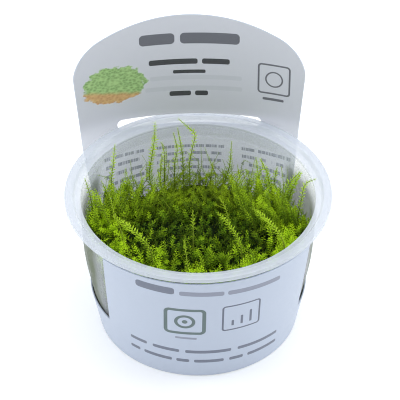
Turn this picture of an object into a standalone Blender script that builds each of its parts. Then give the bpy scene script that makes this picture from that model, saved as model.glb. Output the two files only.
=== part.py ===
"""Tissue culture cup of stringy moss: a moulded cup, the card sleeve round it and the moss inside.

The origin is at the centre of the cup's foot and +Z is up. The sleeve's header stands at +Y and its
front panel faces -Y. Lengths are in metres.
"""

import math
import random

import bmesh
import bpy
from mathutils import Matrix, Vector, noise
from mathutils.bvhtree import BVHTree

MM = 0.001
GAP = 0.3 * MM

# Cup: a turned moulding with a tapered wall that steepens at a knee, a stacking step and a flange
CUP_HEIGHT = 55.6 * MM
FLANGE_RADIUS = 47.5 * MM
FOOT_RADIUS = 35.9 * MM
KNEE_HEIGHT = 30.0 * MM
KNEE_RADIUS = 41.4 * MM
STEP_HEIGHT = 47.2 * MM
STEP_RADIUS = 42.0 * MM
COLLAR_RADIUS = 42.45 * MM
WALL = 0.85 * MM
FLOOR = 1.1 * MM
FOOT_RECESS = 0.9 * MM
LEDGE_DROP = 1.7 * MM
LEDGE_RADIUS = 43.7 * MM
BAND_SLOPE = 0.6 * MM
SKIRT = 1.6 * MM
EDGE = 0.5 * MM
DRAFT = 0.1 * MM
STEP_RISE = 1.0 * MM
STEP_INSIDE = 0.4 * MM
FLOOR_FILLET = 2.2 * MM
FOOT_RING = 1.5 * MM
ROUND_SEGMENTS = 50

# Sleeve: one die-cut card, a band round the foot with a front panel and a tall back panel on it
CARD = 0.4 * MM
SLEEVE_RADIUS = 36.6 * MM
SLEEVE_SLOPE = 0.182
SLEEVE_FOOT = 0.3 * MM
BAND_TOP = 15.5 * MM
PANEL_TOP = CUP_HEIGHT - 3.2 * MM
FRONT_EDGES = (math.radians(119.2), math.radians(237.6))
BACK_EDGE = math.radians(55)
WRAP_RADIUS = 40.0 * MM
SHEET_TOP = 101.0 * MM

# Header: the back panel above the flange, nearly flat, leaning back and turned a little
HEADER_Y = 44.8 * MM
HEADER_BEND = 100.0 * MM
HEADER_LEAN = 0.045
HEADER_TWIST = math.radians(2.3)
HEADER_HALF_WIDTH = 43.6 * MM
HEADER_WIDE_AT = 80.0 * MM
EASE_TO = 56.0 * MM
ARCH_TOP = 99.3 * MM
ARCH_RADIUS = 76.0 * MM
CORNER_RADIUS = 17.0 * MM
CORNER_REACH = 42.3 * MM
SLOT_HALF_WIDTH = 26.8 * MM
SLOT_BOTTOM = PANEL_TOP
SLOT_TOP = CUP_HEIGHT + 1.0 * MM
CUTTER_HALF_WIDTH = 60 * MM
CUTTER_TOP = 115 * MM
CUTTER_DEPTH = 30 * MM
ROUND_STEPS = 8
ARCH_STEPS = 12

# The sheet's grid: columns in the back, a window, the front and the other window, then rows
COLUMNS = (14, 8, 16, 9)
PANEL_ROWS = 4
HEADER_ROWS = 5

# Moss cushion: it fills the cup from the floor up, high at the front and low at the back
MOSS_FRONT = 43.5 * MM
MOSS_BACK_DROP = 12.0 * MM
MOSS_SLOPE_START = -5.0 * MM
MOSS_SLOPE_LENGTH = 43.0 * MM
MOSS_DIP = 5.5 * MM
MOSS_DIP_PLACE = (35.0 * MM, 8.0 * MM)
MOSS_DIP_RADIUS = 14.0 * MM
MOSS_LUMP = 1.6 * MM
MOSS_LUMP_SIZE = 7.0 * MM
MOSS_EDGE = 0.4 * MM
MOSS_FOOT_RISE = 2.5 * MM
MOSS_FOOT_INSET = 1.9 * MM
TOP_POLAR = math.radians(108)
WALL_POLAR = math.radians(142)

# Tufts: short leafy tips that stand out of the cushion
TUFT_SPACING = 4.9 * MM
TUFT_LENGTH = (4.2 * MM, 7.4 * MM)
TUFT_CLEAR = 4.2 * MM
TUFT_EDGE = 3.2 * MM
TUFT_STAGES = ((0.12, 0.65), (0.4, 1.25), (1.0, 0.1))
TUFT_SWAY = 0.3
TUFT_INWARD = 5.0
TUFT_SEED = 7

# Shoots: long stems with whorls of leaves
SHOOT_RADIUS = 1.35 * MM
STEM_SHARE = 0.5
FOOT_GAP = 0.5 * MM
TIP_SHARE = 0.25
WHORL_PITCH = 3.0 * MM
CURVE_STEPS = 12

# Each shoot's foot (x, y) on the cushion, then the places it passes up to its tip, in millimetres
SHOOTS = (
    ((-37.3, 6), (-38.2, 6, 50), (-39.8, 6, 58.5)),
    ((-33.5, 9), (-35, 8.5, 47), (-36.5, 8, 52)),
    ((-30.5, 13.5), (-32, 13, 45), (-34, 13, 51.5)),
    ((-29.8, 19.5), (-30.3, 19, 46), (-29.5, 19, 54), (-28.5, 19.5, 63)),
    ((-14, 30), (-16, 29.5, 39.5), (-15, 29, 49), (-13.8, 29.5, 57), (-13.5, 30, 64)),
    ((-11.5, 25.5), (-12, 26, 42), (-11.5, 26.5, 52)),
    ((-10.5, 34.5), (-10, 34, 45), (-11, 33.5, 52)),
    ((-6.5, 30), (-6.5, 30, 44), (-5.5, 30, 51), (-6.8, 30, 59)),
    ((-3, 34), (-3.2, 34, 44), (-4, 34, 51), (-5, 34, 58)),
    ((-1, 28), (-1, 29, 44), (0, 29.5, 51.5), (1, 29.5, 58), (-1.5, 29, 62), (-5, 29, 66)),
    ((10.5, 30), (13.5, 29.5, 40.5), (14.2, 29, 47), (14.5, 29, 54.5)),
    ((6.5, 33), (7.5, 33, 37), (8, 33, 42)),
    ((14.5, 24), (17, 25.5, 39.5), (20.5, 26.5, 42.5)),
    ((32.5, 13), (35.5, 11.5, 46), (37.8, 9, 54)),
    ((30, 19), (27, 18.5, 46), (24, 18.5, 54)),
    ((29.5, 22.5), (30, 21.5, 42), (30.5, 19.5, 49)),
    ((36, 2), (37.5, 2.5, 47), (38.6, 2.5, 54), (42, 1, 57.5)),
    ((-17.5, -23), (-18.5, -21.5, 48), (-23.5, -13.5, 49.5), (-30.5, -2, 47.5)),
    ((28.8, -22), (28.2, -20.5, 47.5), (24.5, -12, 49), (19, -1, 47.5)),
)


def clear_scene():
    for obj in list(bpy.data.objects):
        bpy.data.objects.remove(obj, do_unlink=True)


def make_collection(name):
    collection = bpy.data.collections.new(name)
    bpy.context.scene.collection.children.link(collection)
    return collection


def make_material(name, colour, roughness, metallic=0.0):
    material = bpy.data.materials.new(name)
    material.use_nodes = True
    shader = material.node_tree.nodes["Principled BSDF"]
    shader.inputs["Base Color"].default_value = (*colour, 1.0)
    shader.inputs["Roughness"].default_value = roughness
    shader.inputs["Metallic"].default_value = metallic
    material.diffuse_color = (*colour, 1.0)
    return material


def add_object(name, data, collection, material=None):
    obj = bpy.data.objects.new(name, data)
    collection.objects.link(obj)
    if material is not None:
        data.materials.append(material)
    return obj


def mesh_from_bmesh(name, bm, sharp_degrees=40):
    mesh = bpy.data.meshes.new(name)
    bm.to_mesh(mesh)
    bm.free()
    mesh.shade_smooth()
    mesh.set_sharp_from_angle(angle=math.radians(sharp_degrees))
    return mesh


def turned(name, profile, collection, material):
    """Turn a profile of (radius, height) points about the Z axis."""
    mesh = bpy.data.meshes.new(name)
    edges = [(i, i + 1) for i in range(len(profile) - 1)]
    mesh.from_pydata([(radius, 0.0, height) for radius, height in profile], edges, [])
    obj = add_object(name, mesh, collection, material)
    screw = obj.modifiers.new("turn", "SCREW")
    screw.steps = ROUND_SEGMENTS
    screw.render_steps = ROUND_SEGMENTS
    screw.use_merge_vertices = True
    screw.merge_threshold = 0.00005
    return obj


def prism_cutter(name, outline, collection):
    """A flat outline of (x, z) points, as a prism that runs along Y through the header."""
    curve = bpy.data.curves.new(name, "CURVE")
    curve.dimensions = "2D"
    curve.fill_mode = "BOTH"
    curve.extrude = CUTTER_DEPTH / 2
    spline = curve.splines.new("POLY")
    spline.points.add(len(outline) - 1)
    for point, (x, z) in zip(spline.points, outline):
        point.co = (x, z, 0.0, 1.0)
    spline.use_cyclic_u = True
    source = add_object(name + "_outline", curve, collection)
    source.matrix_world = header_turn() @ Matrix.Rotation(math.pi / 2, 4, "X")
    bpy.context.view_layer.update()
    evaluated = source.evaluated_get(bpy.context.evaluated_depsgraph_get())
    mesh = bpy.data.meshes.new_from_object(evaluated)
    bm = bmesh.new()
    bm.from_mesh(mesh)
    bmesh.ops.remove_doubles(bm, verts=bm.verts, dist=0.00001)
    bmesh.ops.recalc_face_normals(bm, faces=bm.faces)
    bm.to_mesh(mesh)
    bm.free()
    cutter = add_object(name, mesh, collection)
    cutter.matrix_world = source.matrix_world
    bpy.data.objects.remove(source, do_unlink=True)
    cutter.hide_render = True
    cutter.display_type = "WIRE"
    return cutter


def arc(centre, radius, start, end, steps):
    return [
        (centre[0] + radius * math.sin(angle), centre[1] + radius * math.cos(angle))
        for angle in (start + (end - start) * i / steps for i in range(steps + 1))
    ]


def cup_wall_radius(height):
    """Outer radius of the cup's wall below the stacking step."""
    if height < KNEE_HEIGHT:
        return FOOT_RADIUS + (KNEE_RADIUS - FOOT_RADIUS) * height / KNEE_HEIGHT
    above = (height - KNEE_HEIGHT) / (STEP_HEIGHT - KNEE_HEIGHT)
    return KNEE_RADIUS + (STEP_RADIUS - KNEE_RADIUS) * above


def make_cup(collection, material):
    floor = FOOT_RECESS + FLOOR
    floor_edge = cup_wall_radius(floor) - WALL
    fillet_middle = FLOOR_FILLET * (1 - math.sqrt(0.5))
    ledge = CUP_HEIGHT - LEDGE_DROP
    inner_collar = COLLAR_RADIUS - WALL
    band = LEDGE_RADIUS + BAND_SLOPE
    profile = [
        (0.0, floor),
        (floor_edge - FLOOR_FILLET, floor),
        (floor_edge - fillet_middle, floor + fillet_middle),
        (cup_wall_radius(floor + FLOOR_FILLET) - WALL, floor + FLOOR_FILLET),
        (KNEE_RADIUS - WALL, KNEE_HEIGHT),
        (STEP_RADIUS - WALL, STEP_HEIGHT + STEP_INSIDE),
        (inner_collar, STEP_HEIGHT + STEP_RISE + STEP_INSIDE),
        (inner_collar + DRAFT, ledge - EDGE),
        (inner_collar + EDGE, ledge),
        (LEDGE_RADIUS, ledge),
        (band, CUP_HEIGHT - EDGE),
        (band + EDGE, CUP_HEIGHT),
        (FLANGE_RADIUS - EDGE, CUP_HEIGHT),
        (FLANGE_RADIUS, CUP_HEIGHT - EDGE),
        (FLANGE_RADIUS, CUP_HEIGHT - SKIRT),
        (FLANGE_RADIUS - WALL, CUP_HEIGHT - SKIRT),
        (FLANGE_RADIUS - WALL, CUP_HEIGHT - WALL),
        (band + WALL, CUP_HEIGHT - WALL),
        (LEDGE_RADIUS + EDGE, ledge - WALL),
        (COLLAR_RADIUS + DRAFT, ledge - WALL),
        (COLLAR_RADIUS, STEP_HEIGHT + STEP_RISE),
        (STEP_RADIUS, STEP_HEIGHT),
        (KNEE_RADIUS, KNEE_HEIGHT),
        (cup_wall_radius(EDGE), EDGE),
        (FOOT_RADIUS - EDGE, 0.0),
        (FOOT_RADIUS - EDGE - FOOT_RING, 0.0),
        (FOOT_RADIUS - EDGE - FOOT_RING - BAND_SLOPE, FOOT_RECESS),
        (0.0, FOOT_RECESS),
    ]
    return turned("cup", profile, collection, material)


def smooth_step(value):
    value = min(max(value, 0.0), 1.0)
    return value * value * (3 - 2 * value)


def card_radius(height):
    return SLEEVE_RADIUS + SLEEVE_SLOPE * height


def on_cone(turn, height):
    """A point of the card where it wraps the cup, turn measured from the back's centre."""
    radius = card_radius(height)
    return Vector((radius * math.sin(turn), radius * math.cos(turn), height))


def on_front(turn, height):
    """A point of the front panel, whose sides are parallel, turn measured on the band's top edge."""
    from_front = (turn - math.pi) * card_radius(BAND_TOP) / card_radius(height)
    return on_cone(math.pi + from_front, height)


def on_header(along, height):
    """A point of the card where it stands as the header, along measured from its centre."""
    bend = along / HEADER_BEND
    lean = HEADER_LEAN * (height - CUP_HEIGHT)
    place = Vector((HEADER_BEND * math.sin(bend), HEADER_BEND * (math.cos(bend) - 1), height))
    return header_turn() @ place + Vector((0, lean, 0))


def header_turn():
    """Stands the header behind the cup, turned a little about the upright."""
    return Matrix.Translation((0, HEADER_Y, 0)) @ Matrix.Rotation(-HEADER_TWIST, 4, "Z")


def card_point(turn, height, on_back):
    if height <= BAND_TOP:
        return on_cone(turn, height)
    if not on_back:
        return on_front(turn, height)
    narrow = WRAP_RADIUS * BACK_EDGE
    widening = min((height - BAND_TOP) / (HEADER_WIDE_AT - BAND_TOP), 1.0)
    half_width = narrow + (HEADER_HALF_WIDTH - narrow) * widening
    along = turn / BACK_EDGE * half_width
    ease = smooth_step((height - BAND_TOP) / (EASE_TO - BAND_TOP))
    return on_cone(along / WRAP_RADIUS, height).lerp(on_header(along, height), ease)


def spread(start, end, count):
    return [start + (end - start) * i / count for i in range(count)]


def sleeve_columns():
    """Turns of the sheet's upright lines, once round from the back panel's left edge."""
    edges = (-BACK_EDGE, BACK_EDGE, *FRONT_EDGES, 2 * math.pi - BACK_EDGE)
    columns = []
    for start, end, count in zip(edges, edges[1:], COLUMNS):
        columns += spread(start, end, count)
    return columns + [edges[-1]]


def sleeve_rows():
    header = spread(PANEL_TOP, SHEET_TOP, HEADER_ROWS) + [SHEET_TOP]
    return [SLEEVE_FOOT] + spread(BAND_TOP, PANEL_TOP, PANEL_ROWS) + header


def make_sleeve(collection, cutters, material):
    """The blank is laid out flat as a grid, its windows are cut and then it is wrapped."""
    columns = sleeve_columns()
    rows = sleeve_rows()
    bm = bmesh.new()
    bmesh.ops.create_grid(bm, x_segments=len(columns) - 1, y_segments=len(rows) - 1, size=0.5)
    layout = {}
    for vert in bm.verts:
        column = round((vert.co.x + 0.5) * (len(columns) - 1))
        row = round((vert.co.y + 0.5) * (len(rows) - 1))
        layout[vert] = (columns[column], rows[row])
    windows = []
    for face in bm.faces:
        turn = sum(layout[vert][0] for vert in face.verts) / 4
        height = sum(layout[vert][1] for vert in face.verts) / 4
        in_back = turn < BACK_EDGE
        in_front = FRONT_EDGES[0] < turn < FRONT_EDGES[1] and height < PANEL_TOP
        if height > BAND_TOP and not in_back and not in_front:
            windows.append(face)
    for vert, (turn, height) in layout.items():
        vert.co = card_point(turn, height, turn <= BACK_EDGE + 0.001)
    bmesh.ops.delete(bm, geom=windows, context="FACES")
    bmesh.ops.remove_doubles(bm, verts=bm.verts, dist=0.00005)
    bmesh.ops.recalc_face_normals(bm, faces=bm.faces)
    sleeve = add_object("label_sleeve", mesh_from_bmesh("label_sleeve", bm), collection, material)

    thickness = sleeve.modifiers.new("card", "SOLIDIFY")
    thickness.thickness = CARD
    thickness.offset = 0.0
    for cutter in (slot_cutter(cutters), arch_cutter(cutters)):
        opening = sleeve.modifiers.new(cutter.name, "BOOLEAN")
        opening.operation = "DIFFERENCE"
        opening.object = cutter
    return sleeve


def slot_cutter(collection):
    """The slot that the flange's back goes through, with round ends."""
    radius = (SLOT_TOP - SLOT_BOTTOM) / 2
    middle = (SLOT_TOP + SLOT_BOTTOM) / 2
    reach = SLOT_HALF_WIDTH - radius
    outline = arc((reach, middle), radius, 0, math.pi, ROUND_STEPS)
    outline += arc((-reach, middle), radius, math.pi, 2 * math.pi, ROUND_STEPS)
    return prism_cutter("slot_cutter", outline, collection)


def arch_cutter(collection):
    """Everything above the header's arched top edge and its two round corners."""
    centre = (0.0, ARCH_TOP - ARCH_RADIUS)
    corner_x = CORNER_REACH - CORNER_RADIUS
    to_corner = ARCH_RADIUS - CORNER_RADIUS
    corner_z = centre[1] + math.sqrt(to_corner ** 2 - corner_x ** 2)
    meet = math.asin(corner_x / to_corner)
    right = arc(centre, ARCH_RADIUS, 0, meet, ARCH_STEPS)
    right += arc((corner_x, corner_z), CORNER_RADIUS, meet, math.pi / 2, ROUND_STEPS)[1:]
    left = [(-x, z) for x, z in reversed(right[1:])]
    frame = [(CUTTER_HALF_WIDTH, corner_z), (CUTTER_HALF_WIDTH, CUTTER_TOP)]
    frame += [(-x, z) for x, z in reversed(frame)]
    return prism_cutter("arch_cutter", left + right + frame, collection)


def moss_level(x, y):
    """Height of the cushion's top at a place in the cup."""
    slope = smooth_step((y - MOSS_SLOPE_START) / MOSS_SLOPE_LENGTH)
    from_dip = math.hypot(x - MOSS_DIP_PLACE[0], y - MOSS_DIP_PLACE[1]) / MOSS_DIP_RADIUS
    dip = MOSS_DIP * math.exp(-from_dip ** 2)
    lump = MOSS_LUMP * noise.noise(Vector((x, y, 0.0)) / MOSS_LUMP_SIZE)
    return MOSS_FRONT - MOSS_BACK_DROP * slope - dip + lump


def moss_side(height):
    return cup_wall_radius(height) - WALL - MOSS_EDGE


def cushion_point(direction):
    """Where a point of a unit sphere goes on the cushion: its top, its side or its underside."""
    polar = math.acos(max(-1.0, min(1.0, direction.z)))
    turn = math.atan2(direction.y, direction.x)
    floor = FOOT_RECESS + FLOOR + GAP
    rim = moss_side(MOSS_FRONT - MOSS_BACK_DROP)
    rim_level = moss_level(rim * math.cos(turn), rim * math.sin(turn))
    if polar < TOP_POLAR:
        radius = moss_side(rim_level) * math.sin(polar / 2) / math.sin(TOP_POLAR / 2)
        x, y = radius * math.cos(turn), radius * math.sin(turn)
        return Vector((x, y, moss_level(x, y)))
    if polar < WALL_POLAR:
        down = (polar - TOP_POLAR) / (WALL_POLAR - TOP_POLAR)
        height = rim_level + (floor + MOSS_FOOT_RISE - rim_level) * down
        radius = moss_side(height)
    else:
        share = (math.pi - polar) / (math.pi - WALL_POLAR)
        height = floor
        radius = (moss_side(floor) - MOSS_FOOT_INSET) * share
    return Vector((radius * math.cos(turn), radius * math.sin(turn), height))


def shoot_route(foot, places):
    """Points up a shoot at even spacing along a smooth curve, half a whorl apart."""
    stops = [Vector(foot)] + [Vector(place) * MM for place in places]
    stops = [2 * stops[0] - stops[1]] + stops + [2 * stops[-1] - stops[-2]]
    fine = []
    for a, b, c, d in zip(stops, stops[1:], stops[2:], stops[3:]):
        for i in range(CURVE_STEPS):
            t = i / CURVE_STEPS
            fine.append(0.5 * (
                2 * b + (c - a) * t + (2 * a - 5 * b + 4 * c - d) * t ** 2
                + (3 * b - a - 3 * c + d) * t ** 3
            ))
    fine.append(stops[-2])
    lengths = [0.0]
    for before, after in zip(fine, fine[1:]):
        lengths.append(lengths[-1] + (after - before).length)
    count = 2 * max(2, round(lengths[-1] / WHORL_PITCH)) + 1
    route = []
    for i in range(count):
        wanted = lengths[-1] * i / (count - 1)
        after = next(j for j in range(1, len(fine)) if lengths[j] >= wanted - 1e-9)
        share = (wanted - lengths[after - 1]) / (lengths[after] - lengths[after - 1])
        route.append(fine[after - 1].lerp(fine[after], share))
    return route


def clear_of_shoots(place, routes):
    """True where a tuft on this place would stay away from every shoot."""
    for route in routes:
        for point in route:
            near = math.hypot(point.x - place.x, point.y - place.y) < TUFT_CLEAR
            if near and point.z - place.z < TUFT_LENGTH[1] + SHOOT_RADIUS:
                return False
    return True


def make_cushion(collection, material):
    """The cushion with its tufts. Returns the routes of the shoots that stand on it."""
    bm = bmesh.new()
    bmesh.ops.create_icosphere(bm, subdivisions=4, radius=1.0)
    for vert in bm.verts:
        vert.co = cushion_point(vert.co.normalized())
    bm.normal_update()
    bare = BVHTree.FromBMesh(bm)
    routes = [shoot_route(shoot_foot(bare, spec[0]), spec[1:]) for spec in SHOOTS]
    add_tufts(bm, routes)
    add_object("moss_cushion", mesh_from_bmesh("moss_cushion", bm), collection, material)
    return routes


def shoot_foot(surface, place):
    """The foot of a shoot, just above the highest of the cushion round it."""
    heights = []
    for x, y in [(0, 0)] + arc((0, 0), SHOOT_RADIUS, 0, 2 * math.pi, ROUND_STEPS):
        above = Vector((place[0] * MM + x, place[1] * MM + y, CUP_HEIGHT))
        hit = surface.ray_cast(above, Vector((0, 0, -1)))[0]
        if hit is not None:
            heights.append(hit.z)
    return Vector((place[0] * MM, place[1] * MM, max(heights) + FOOT_GAP))


def add_tufts(bm, routes):
    draw = random.Random(TUFT_SEED)
    faces = [face for face in bm.faces if face.normal.z > 0.5]
    draw.shuffle(faces)
    chosen = []
    for face in faces:
        place = face.calc_center_median()
        from_axis = math.hypot(place.x, place.y)
        if from_axis > moss_side(place.z) - TUFT_EDGE or not clear_of_shoots(place, routes):
            continue
        if all((place - other[1]).length > TUFT_SPACING for other in chosen):
            chosen.append((face, place))
    for face, place in chosen:
        length = draw.uniform(*TUFT_LENGTH)
        inward = Vector((-place.x, -place.y, 0)) * TUFT_INWARD
        sway_x = draw.uniform(-TUFT_SWAY, TUFT_SWAY)
        sway_y = draw.uniform(-TUFT_SWAY, TUFT_SWAY)
        sway = Vector((sway_x, sway_y, 1.0))
        grow_tuft(bm, face, (sway + inward).normalized() * length)


def grow_tuft(bm, face, axis):
    """Draw one face out along an axis: a neck, a skirt of leaves and a point."""
    along = 0.0
    for reach, width in TUFT_STAGES:
        face = bmesh.ops.extrude_discrete_faces(bm, faces=[face])["faces"][0]
        centre = face.calc_center_median()
        spread_now = sum((vert.co - centre).length for vert in face.verts) / 3
        for vert in face.verts:
            vert.co = centre + (vert.co - centre) * (SHOOT_RADIUS * width / spread_now)
            vert.co += axis * (reach - along)
        along = reach


def make_shoot(number, route, collection, material):
    """A leafy stem: a tube that swells at each whorl and ends in a point."""
    name = f"moss_shoot_{number:02d}"
    curve = bpy.data.curves.new(name, "CURVE")
    curve.dimensions = "3D"
    curve.bevel_depth = SHOOT_RADIUS
    curve.bevel_resolution = 1
    curve.use_fill_caps = True
    spline = curve.splines.new("POLY")
    spline.points.add(len(route) - 1)
    for i, (point, place) in enumerate(zip(spline.points, route)):
        point.co = (*place, 1.0)
        point.radius = 1.0 if i % 2 else STEM_SHARE
    spline.points[-1].radius = TIP_SHARE
    return add_object(name, curve, collection, material)


def main():
    clear_scene()
    parts = make_collection("moss_culture_cup")
    cutters = make_collection("cutters")
    make_cup(parts, make_material("milky plastic", (0.84, 0.87, 0.88), 0.28))
    make_sleeve(parts, cutters, make_material("satin card", (0.78, 0.80, 0.86), 0.45))
    cushion_green = make_material("moss green", (0.10, 0.20, 0.012), 0.6)
    shoot_green = make_material("young moss green", (0.30, 0.42, 0.02), 0.55)
    routes = make_cushion(parts, cushion_green)
    for number, route in enumerate(routes, start=1):
        make_shoot(number, route, parts, shoot_green)


main()
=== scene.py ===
"""Looks of a tissue culture cup of stringy moss: milky cup, printed card sleeve, moss and a plain stage.

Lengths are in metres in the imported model's own frame. Each piece stands for the node that it replaces.
"""

import math
from collections import namedtuple

import bpy
from bpy.props import FloatProperty, FloatVectorProperty, IntProperty, PointerProperty
from bpy.types import Operator, Panel, PropertyGroup
from mathutils import Matrix, Vector, noise


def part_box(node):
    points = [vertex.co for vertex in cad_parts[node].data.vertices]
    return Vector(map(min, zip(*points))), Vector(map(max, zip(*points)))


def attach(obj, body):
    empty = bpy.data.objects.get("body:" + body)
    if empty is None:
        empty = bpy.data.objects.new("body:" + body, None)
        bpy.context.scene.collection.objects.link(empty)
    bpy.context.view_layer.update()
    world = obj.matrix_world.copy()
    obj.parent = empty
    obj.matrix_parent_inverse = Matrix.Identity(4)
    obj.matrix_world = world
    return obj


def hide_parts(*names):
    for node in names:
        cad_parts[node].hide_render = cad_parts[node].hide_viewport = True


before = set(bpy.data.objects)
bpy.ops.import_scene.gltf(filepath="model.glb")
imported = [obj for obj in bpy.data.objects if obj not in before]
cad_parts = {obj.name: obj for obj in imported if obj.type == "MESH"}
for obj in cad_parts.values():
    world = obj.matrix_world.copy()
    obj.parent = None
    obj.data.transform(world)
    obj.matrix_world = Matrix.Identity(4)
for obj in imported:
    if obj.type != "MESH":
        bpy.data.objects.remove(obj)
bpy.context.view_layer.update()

bl_info = {
    "name": "Moss Culture Cup",
    "version": (1, 0, 0),
    "blender": (4, 5, 0),
    "location": "3D View > Sidebar > Moss Cup",
    "description": "Makes a culture cup of stringy moss with its card sleeve",
    "category": "Add Mesh",
}

MM = 0.001
LEAF_GAP = 0.25 * MM
CUP_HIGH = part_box("cup")[1]
SLEEVE_LOW, SLEEVE_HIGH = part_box("label_sleeve")

# Parts of the sleeve's sheet, told apart by how far each is moved along U in its UV map, in millimetres
FRONT_OUTSIDE = 0.0
BACK_INSIDE = 200.0
BACK_OUTSIDE = 400.0
BLANK = 600.0

# Each shoot's foot (x, y) and the places it passes up to its tip, in millimetres, as the CAD node lies
SHOOTS = (
    ((-37.3, 6), (-38.2, 6, 50), (-39.8, 6, 58.5)),
    ((-33.5, 9), (-35, 8.5, 47), (-36.5, 8, 52)),
    ((-30.5, 13.5), (-32, 13, 45), (-34, 13, 51.5)),
    ((-29.8, 19.5), (-30.3, 19, 46), (-29.5, 19, 54), (-28.5, 19.5, 63)),
    ((-14, 30), (-16, 29.5, 39.5), (-15, 29, 49), (-13.8, 29.5, 57), (-13.5, 30, 64)),
    ((-11.5, 25.5), (-12, 26, 42), (-11.5, 26.5, 52)),
    ((-10.5, 34.5), (-10, 34, 45), (-11, 33.5, 52)),
    ((-6.5, 30), (-6.5, 30, 44), (-5.5, 30, 51), (-6.8, 30, 59)),
    ((-3, 34), (-3.2, 34, 44), (-4, 34, 51), (-5, 34, 58)),
    ((-1, 28), (-1, 29, 44), (0, 29.5, 51.5), (1, 29.5, 58), (-1.5, 29, 62), (-5, 29, 66)),
    ((10.5, 30), (13.5, 29.5, 40.5), (14.2, 29, 47), (14.5, 29, 54.5)),
    ((6.5, 33), (7.5, 33, 37), (8, 33, 42)),
    ((14.5, 24), (17, 25.5, 39.5), (20.5, 26.5, 42.5)),
    ((32.5, 13), (35.5, 11.5, 46), (37.8, 9, 54)),
    ((30, 19), (27, 18.5, 46), (24, 18.5, 54)),
    ((29.5, 22.5), (30, 21.5, 42), (30.5, 19.5, 49)),
    ((36, 2), (37.5, 2.5, 47), (38.6, 2.5, 54), (42, 1, 57.5)),
    ((-17.5, -23), (-18.5, -21.5, 48), (-23.5, -13.5, 49.5), (-30.5, -2, 47.5)),
    ((28.8, -22), (28.2, -20.5, 47.5), (24.5, -12, 49), (19, -1, 47.5)),
)

# More shoots in and over the cushion, with no node of their own: each foot and places
LOOSE_SHOOTS = (
    ((11, -6), (10.5, -3, 44.5), (9.5, 1, 47.0), (7.9, 4.9, 48)),
    ((14, -21), (13.2, -17.4, 45.5), (10, -10.5, 48), (6.6, -4.3, 48.5)),
    ((-3, -15), (-2.6, -10.5, 45.5), (-2.1, -1.8, 48)),
    ((-6, -29), (-6, -27, 46), (-6.5, -20, 50)),
    ((-27, -12), (-28, -9, 46), (-30, -3, 49), (-31.5, 4, 53)),
    ((30, 2), (31, 5, 45), (31.5, 9, 50), (31, 12, 55)),
    ((28, 0), (30.7, 5, 42.9), (32.7, 8, 48.3), (35.3, 8.6, 52.3), (37.4, 9, 54.6)),
    ((31, 7), (30.7, 9, 37.3), (29.7, 14, 41.8), (27.2, 16, 44.1), (26.8, 18, 48.3)),
    ((27, 11), (26.6, 12, 37.4), (24.3, 16, 43.3), (23.3, 18, 48.3), (22.7, 20, 53.3)),
    ((-30, -4), (-31.1, -2, 40.1), (-32.7, 2, 43.4), (-34.6, 4, 47.4), (-35.5, 5, 51.3)),
    ((-26, 2), (-26.3, 4, 40), (-27.8, 8, 43.8), (-29.4, 10, 46.8), (-29.9, 11, 51.2)),
    ((-21, 6), (-21.3, 8, 40), (-22.5, 11, 43.7), (-23.4, 13, 47.8)),
    ((-11, 13), (-11.1, 14, 40.5), (-12.6, 18, 44.5), (-13.2, 20, 49.9)),
    ((9, 16), (10.2, 18, 39.7), (14.2, 22, 41.9), (17.3, 24, 43.9), (20, 25, 44.4)),
)

# Shoots with longer leaves than the rest, by number, and those that lie in full light
FULL_SHOOTS = {
    4: 1.15, 5: 1.45, 8: 1.1, 9: 1.1, 10: 1.2, 14: 1.5, 15: 1.3, 17: 1.2, 18: 1.4, 19: 1.3, 21: 1.3,
    26: 1.8, 27: 1.6, 28: 1.3, 29: 1.4, 30: 1.3, 31: 1.5, 32: 1.4,
}
BRIGHT_SHOOTS = (18, 19, 20, 21, 23, 24)

# Printed bars in millimetres on the flat card: middle (x, z), size (width, height) and ink
HEADER_BARS = (
    ((-11.6, 89.5), (13.0, 4.6), "grey"),
    ((7.8, 89.5), (21.8, 4.6), "grey"),
    ((-5.7, 79.6), (18.0, 2.3), "black"),
    ((10.0, 79.6), (10.2, 2.3), "black"),
    ((0.2, 75.2), (12.0, 1.5), "black"),
    ((-3.2, 65.7), (8.0, 2.1), "black"),
    ((4.7, 65.7), (4.8, 2.1), "black"),
    ((31.5, 65.4), (8.0, 1.1), "grey"),
    ((2.6, 72.7), (34.0, 1.9), "ghost"),
    ((1.8, 68.0), (36.0, 1.9), "ghost"),
)
FRONT_BARS = (
    ((-18.6, 47.7), (14.0, 3.6), "slate"),
    ((-2.2, 47.0), (15.4, 2.3), "pale"),
    ((16.8, 47.0), (20.0, 2.3), "pale"),
    ((-7.4, 22.0), (7.6, 1.1), "pale"),
    ((-25.2, 14.2), (6.8, 1.7), "slate"),
    ((-14.6, 14.2), (9.8, 1.7), "slate"),
    ((0.6, 14.2), (16.4, 1.7), "slate"),
    ((19.6, 14.2), (16.8, 1.7), "slate"),
    ((-26.6, 8.8), (4.0, 1.7), "slate"),
    ((-17.6, 8.8), (10.6, 1.7), "slate"),
    ((-8.4, 8.8), (4.6, 1.7), "slate"),
    ((0.9, 8.8), (10.6, 1.7), "slate"),
    ((10.8, 8.8), (5.2, 1.7), "slate"),
    ((21.6, 8.8), (12.8, 1.7), "slate"),
)
# How much the lines on the front panel fall from left to right
FRONT_SLOPE = -0.03

# Middles of the three framed signs
LEFT_SIGN = (-7.9, 31.6)
RIGHT_SIGN = (12.1, 32.4)
HEADER_SIGN = (31.7, 74.1)

# Frames: part of the print, middle, size, rounding, width of the line and ink
FRAMES = (
    (FRONT_OUTSIDE, LEFT_SIGN, (14.8, 14.3), 2.2, 1.35, "green"),
    (FRONT_OUTSIDE, RIGHT_SIGN, (14.2, 14.0), 1.4, 0.7, "slate"),
    (BACK_INSIDE, HEADER_SIGN, (12.4, 13.0), 1.5, 0.7, "grey"),
)

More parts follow.
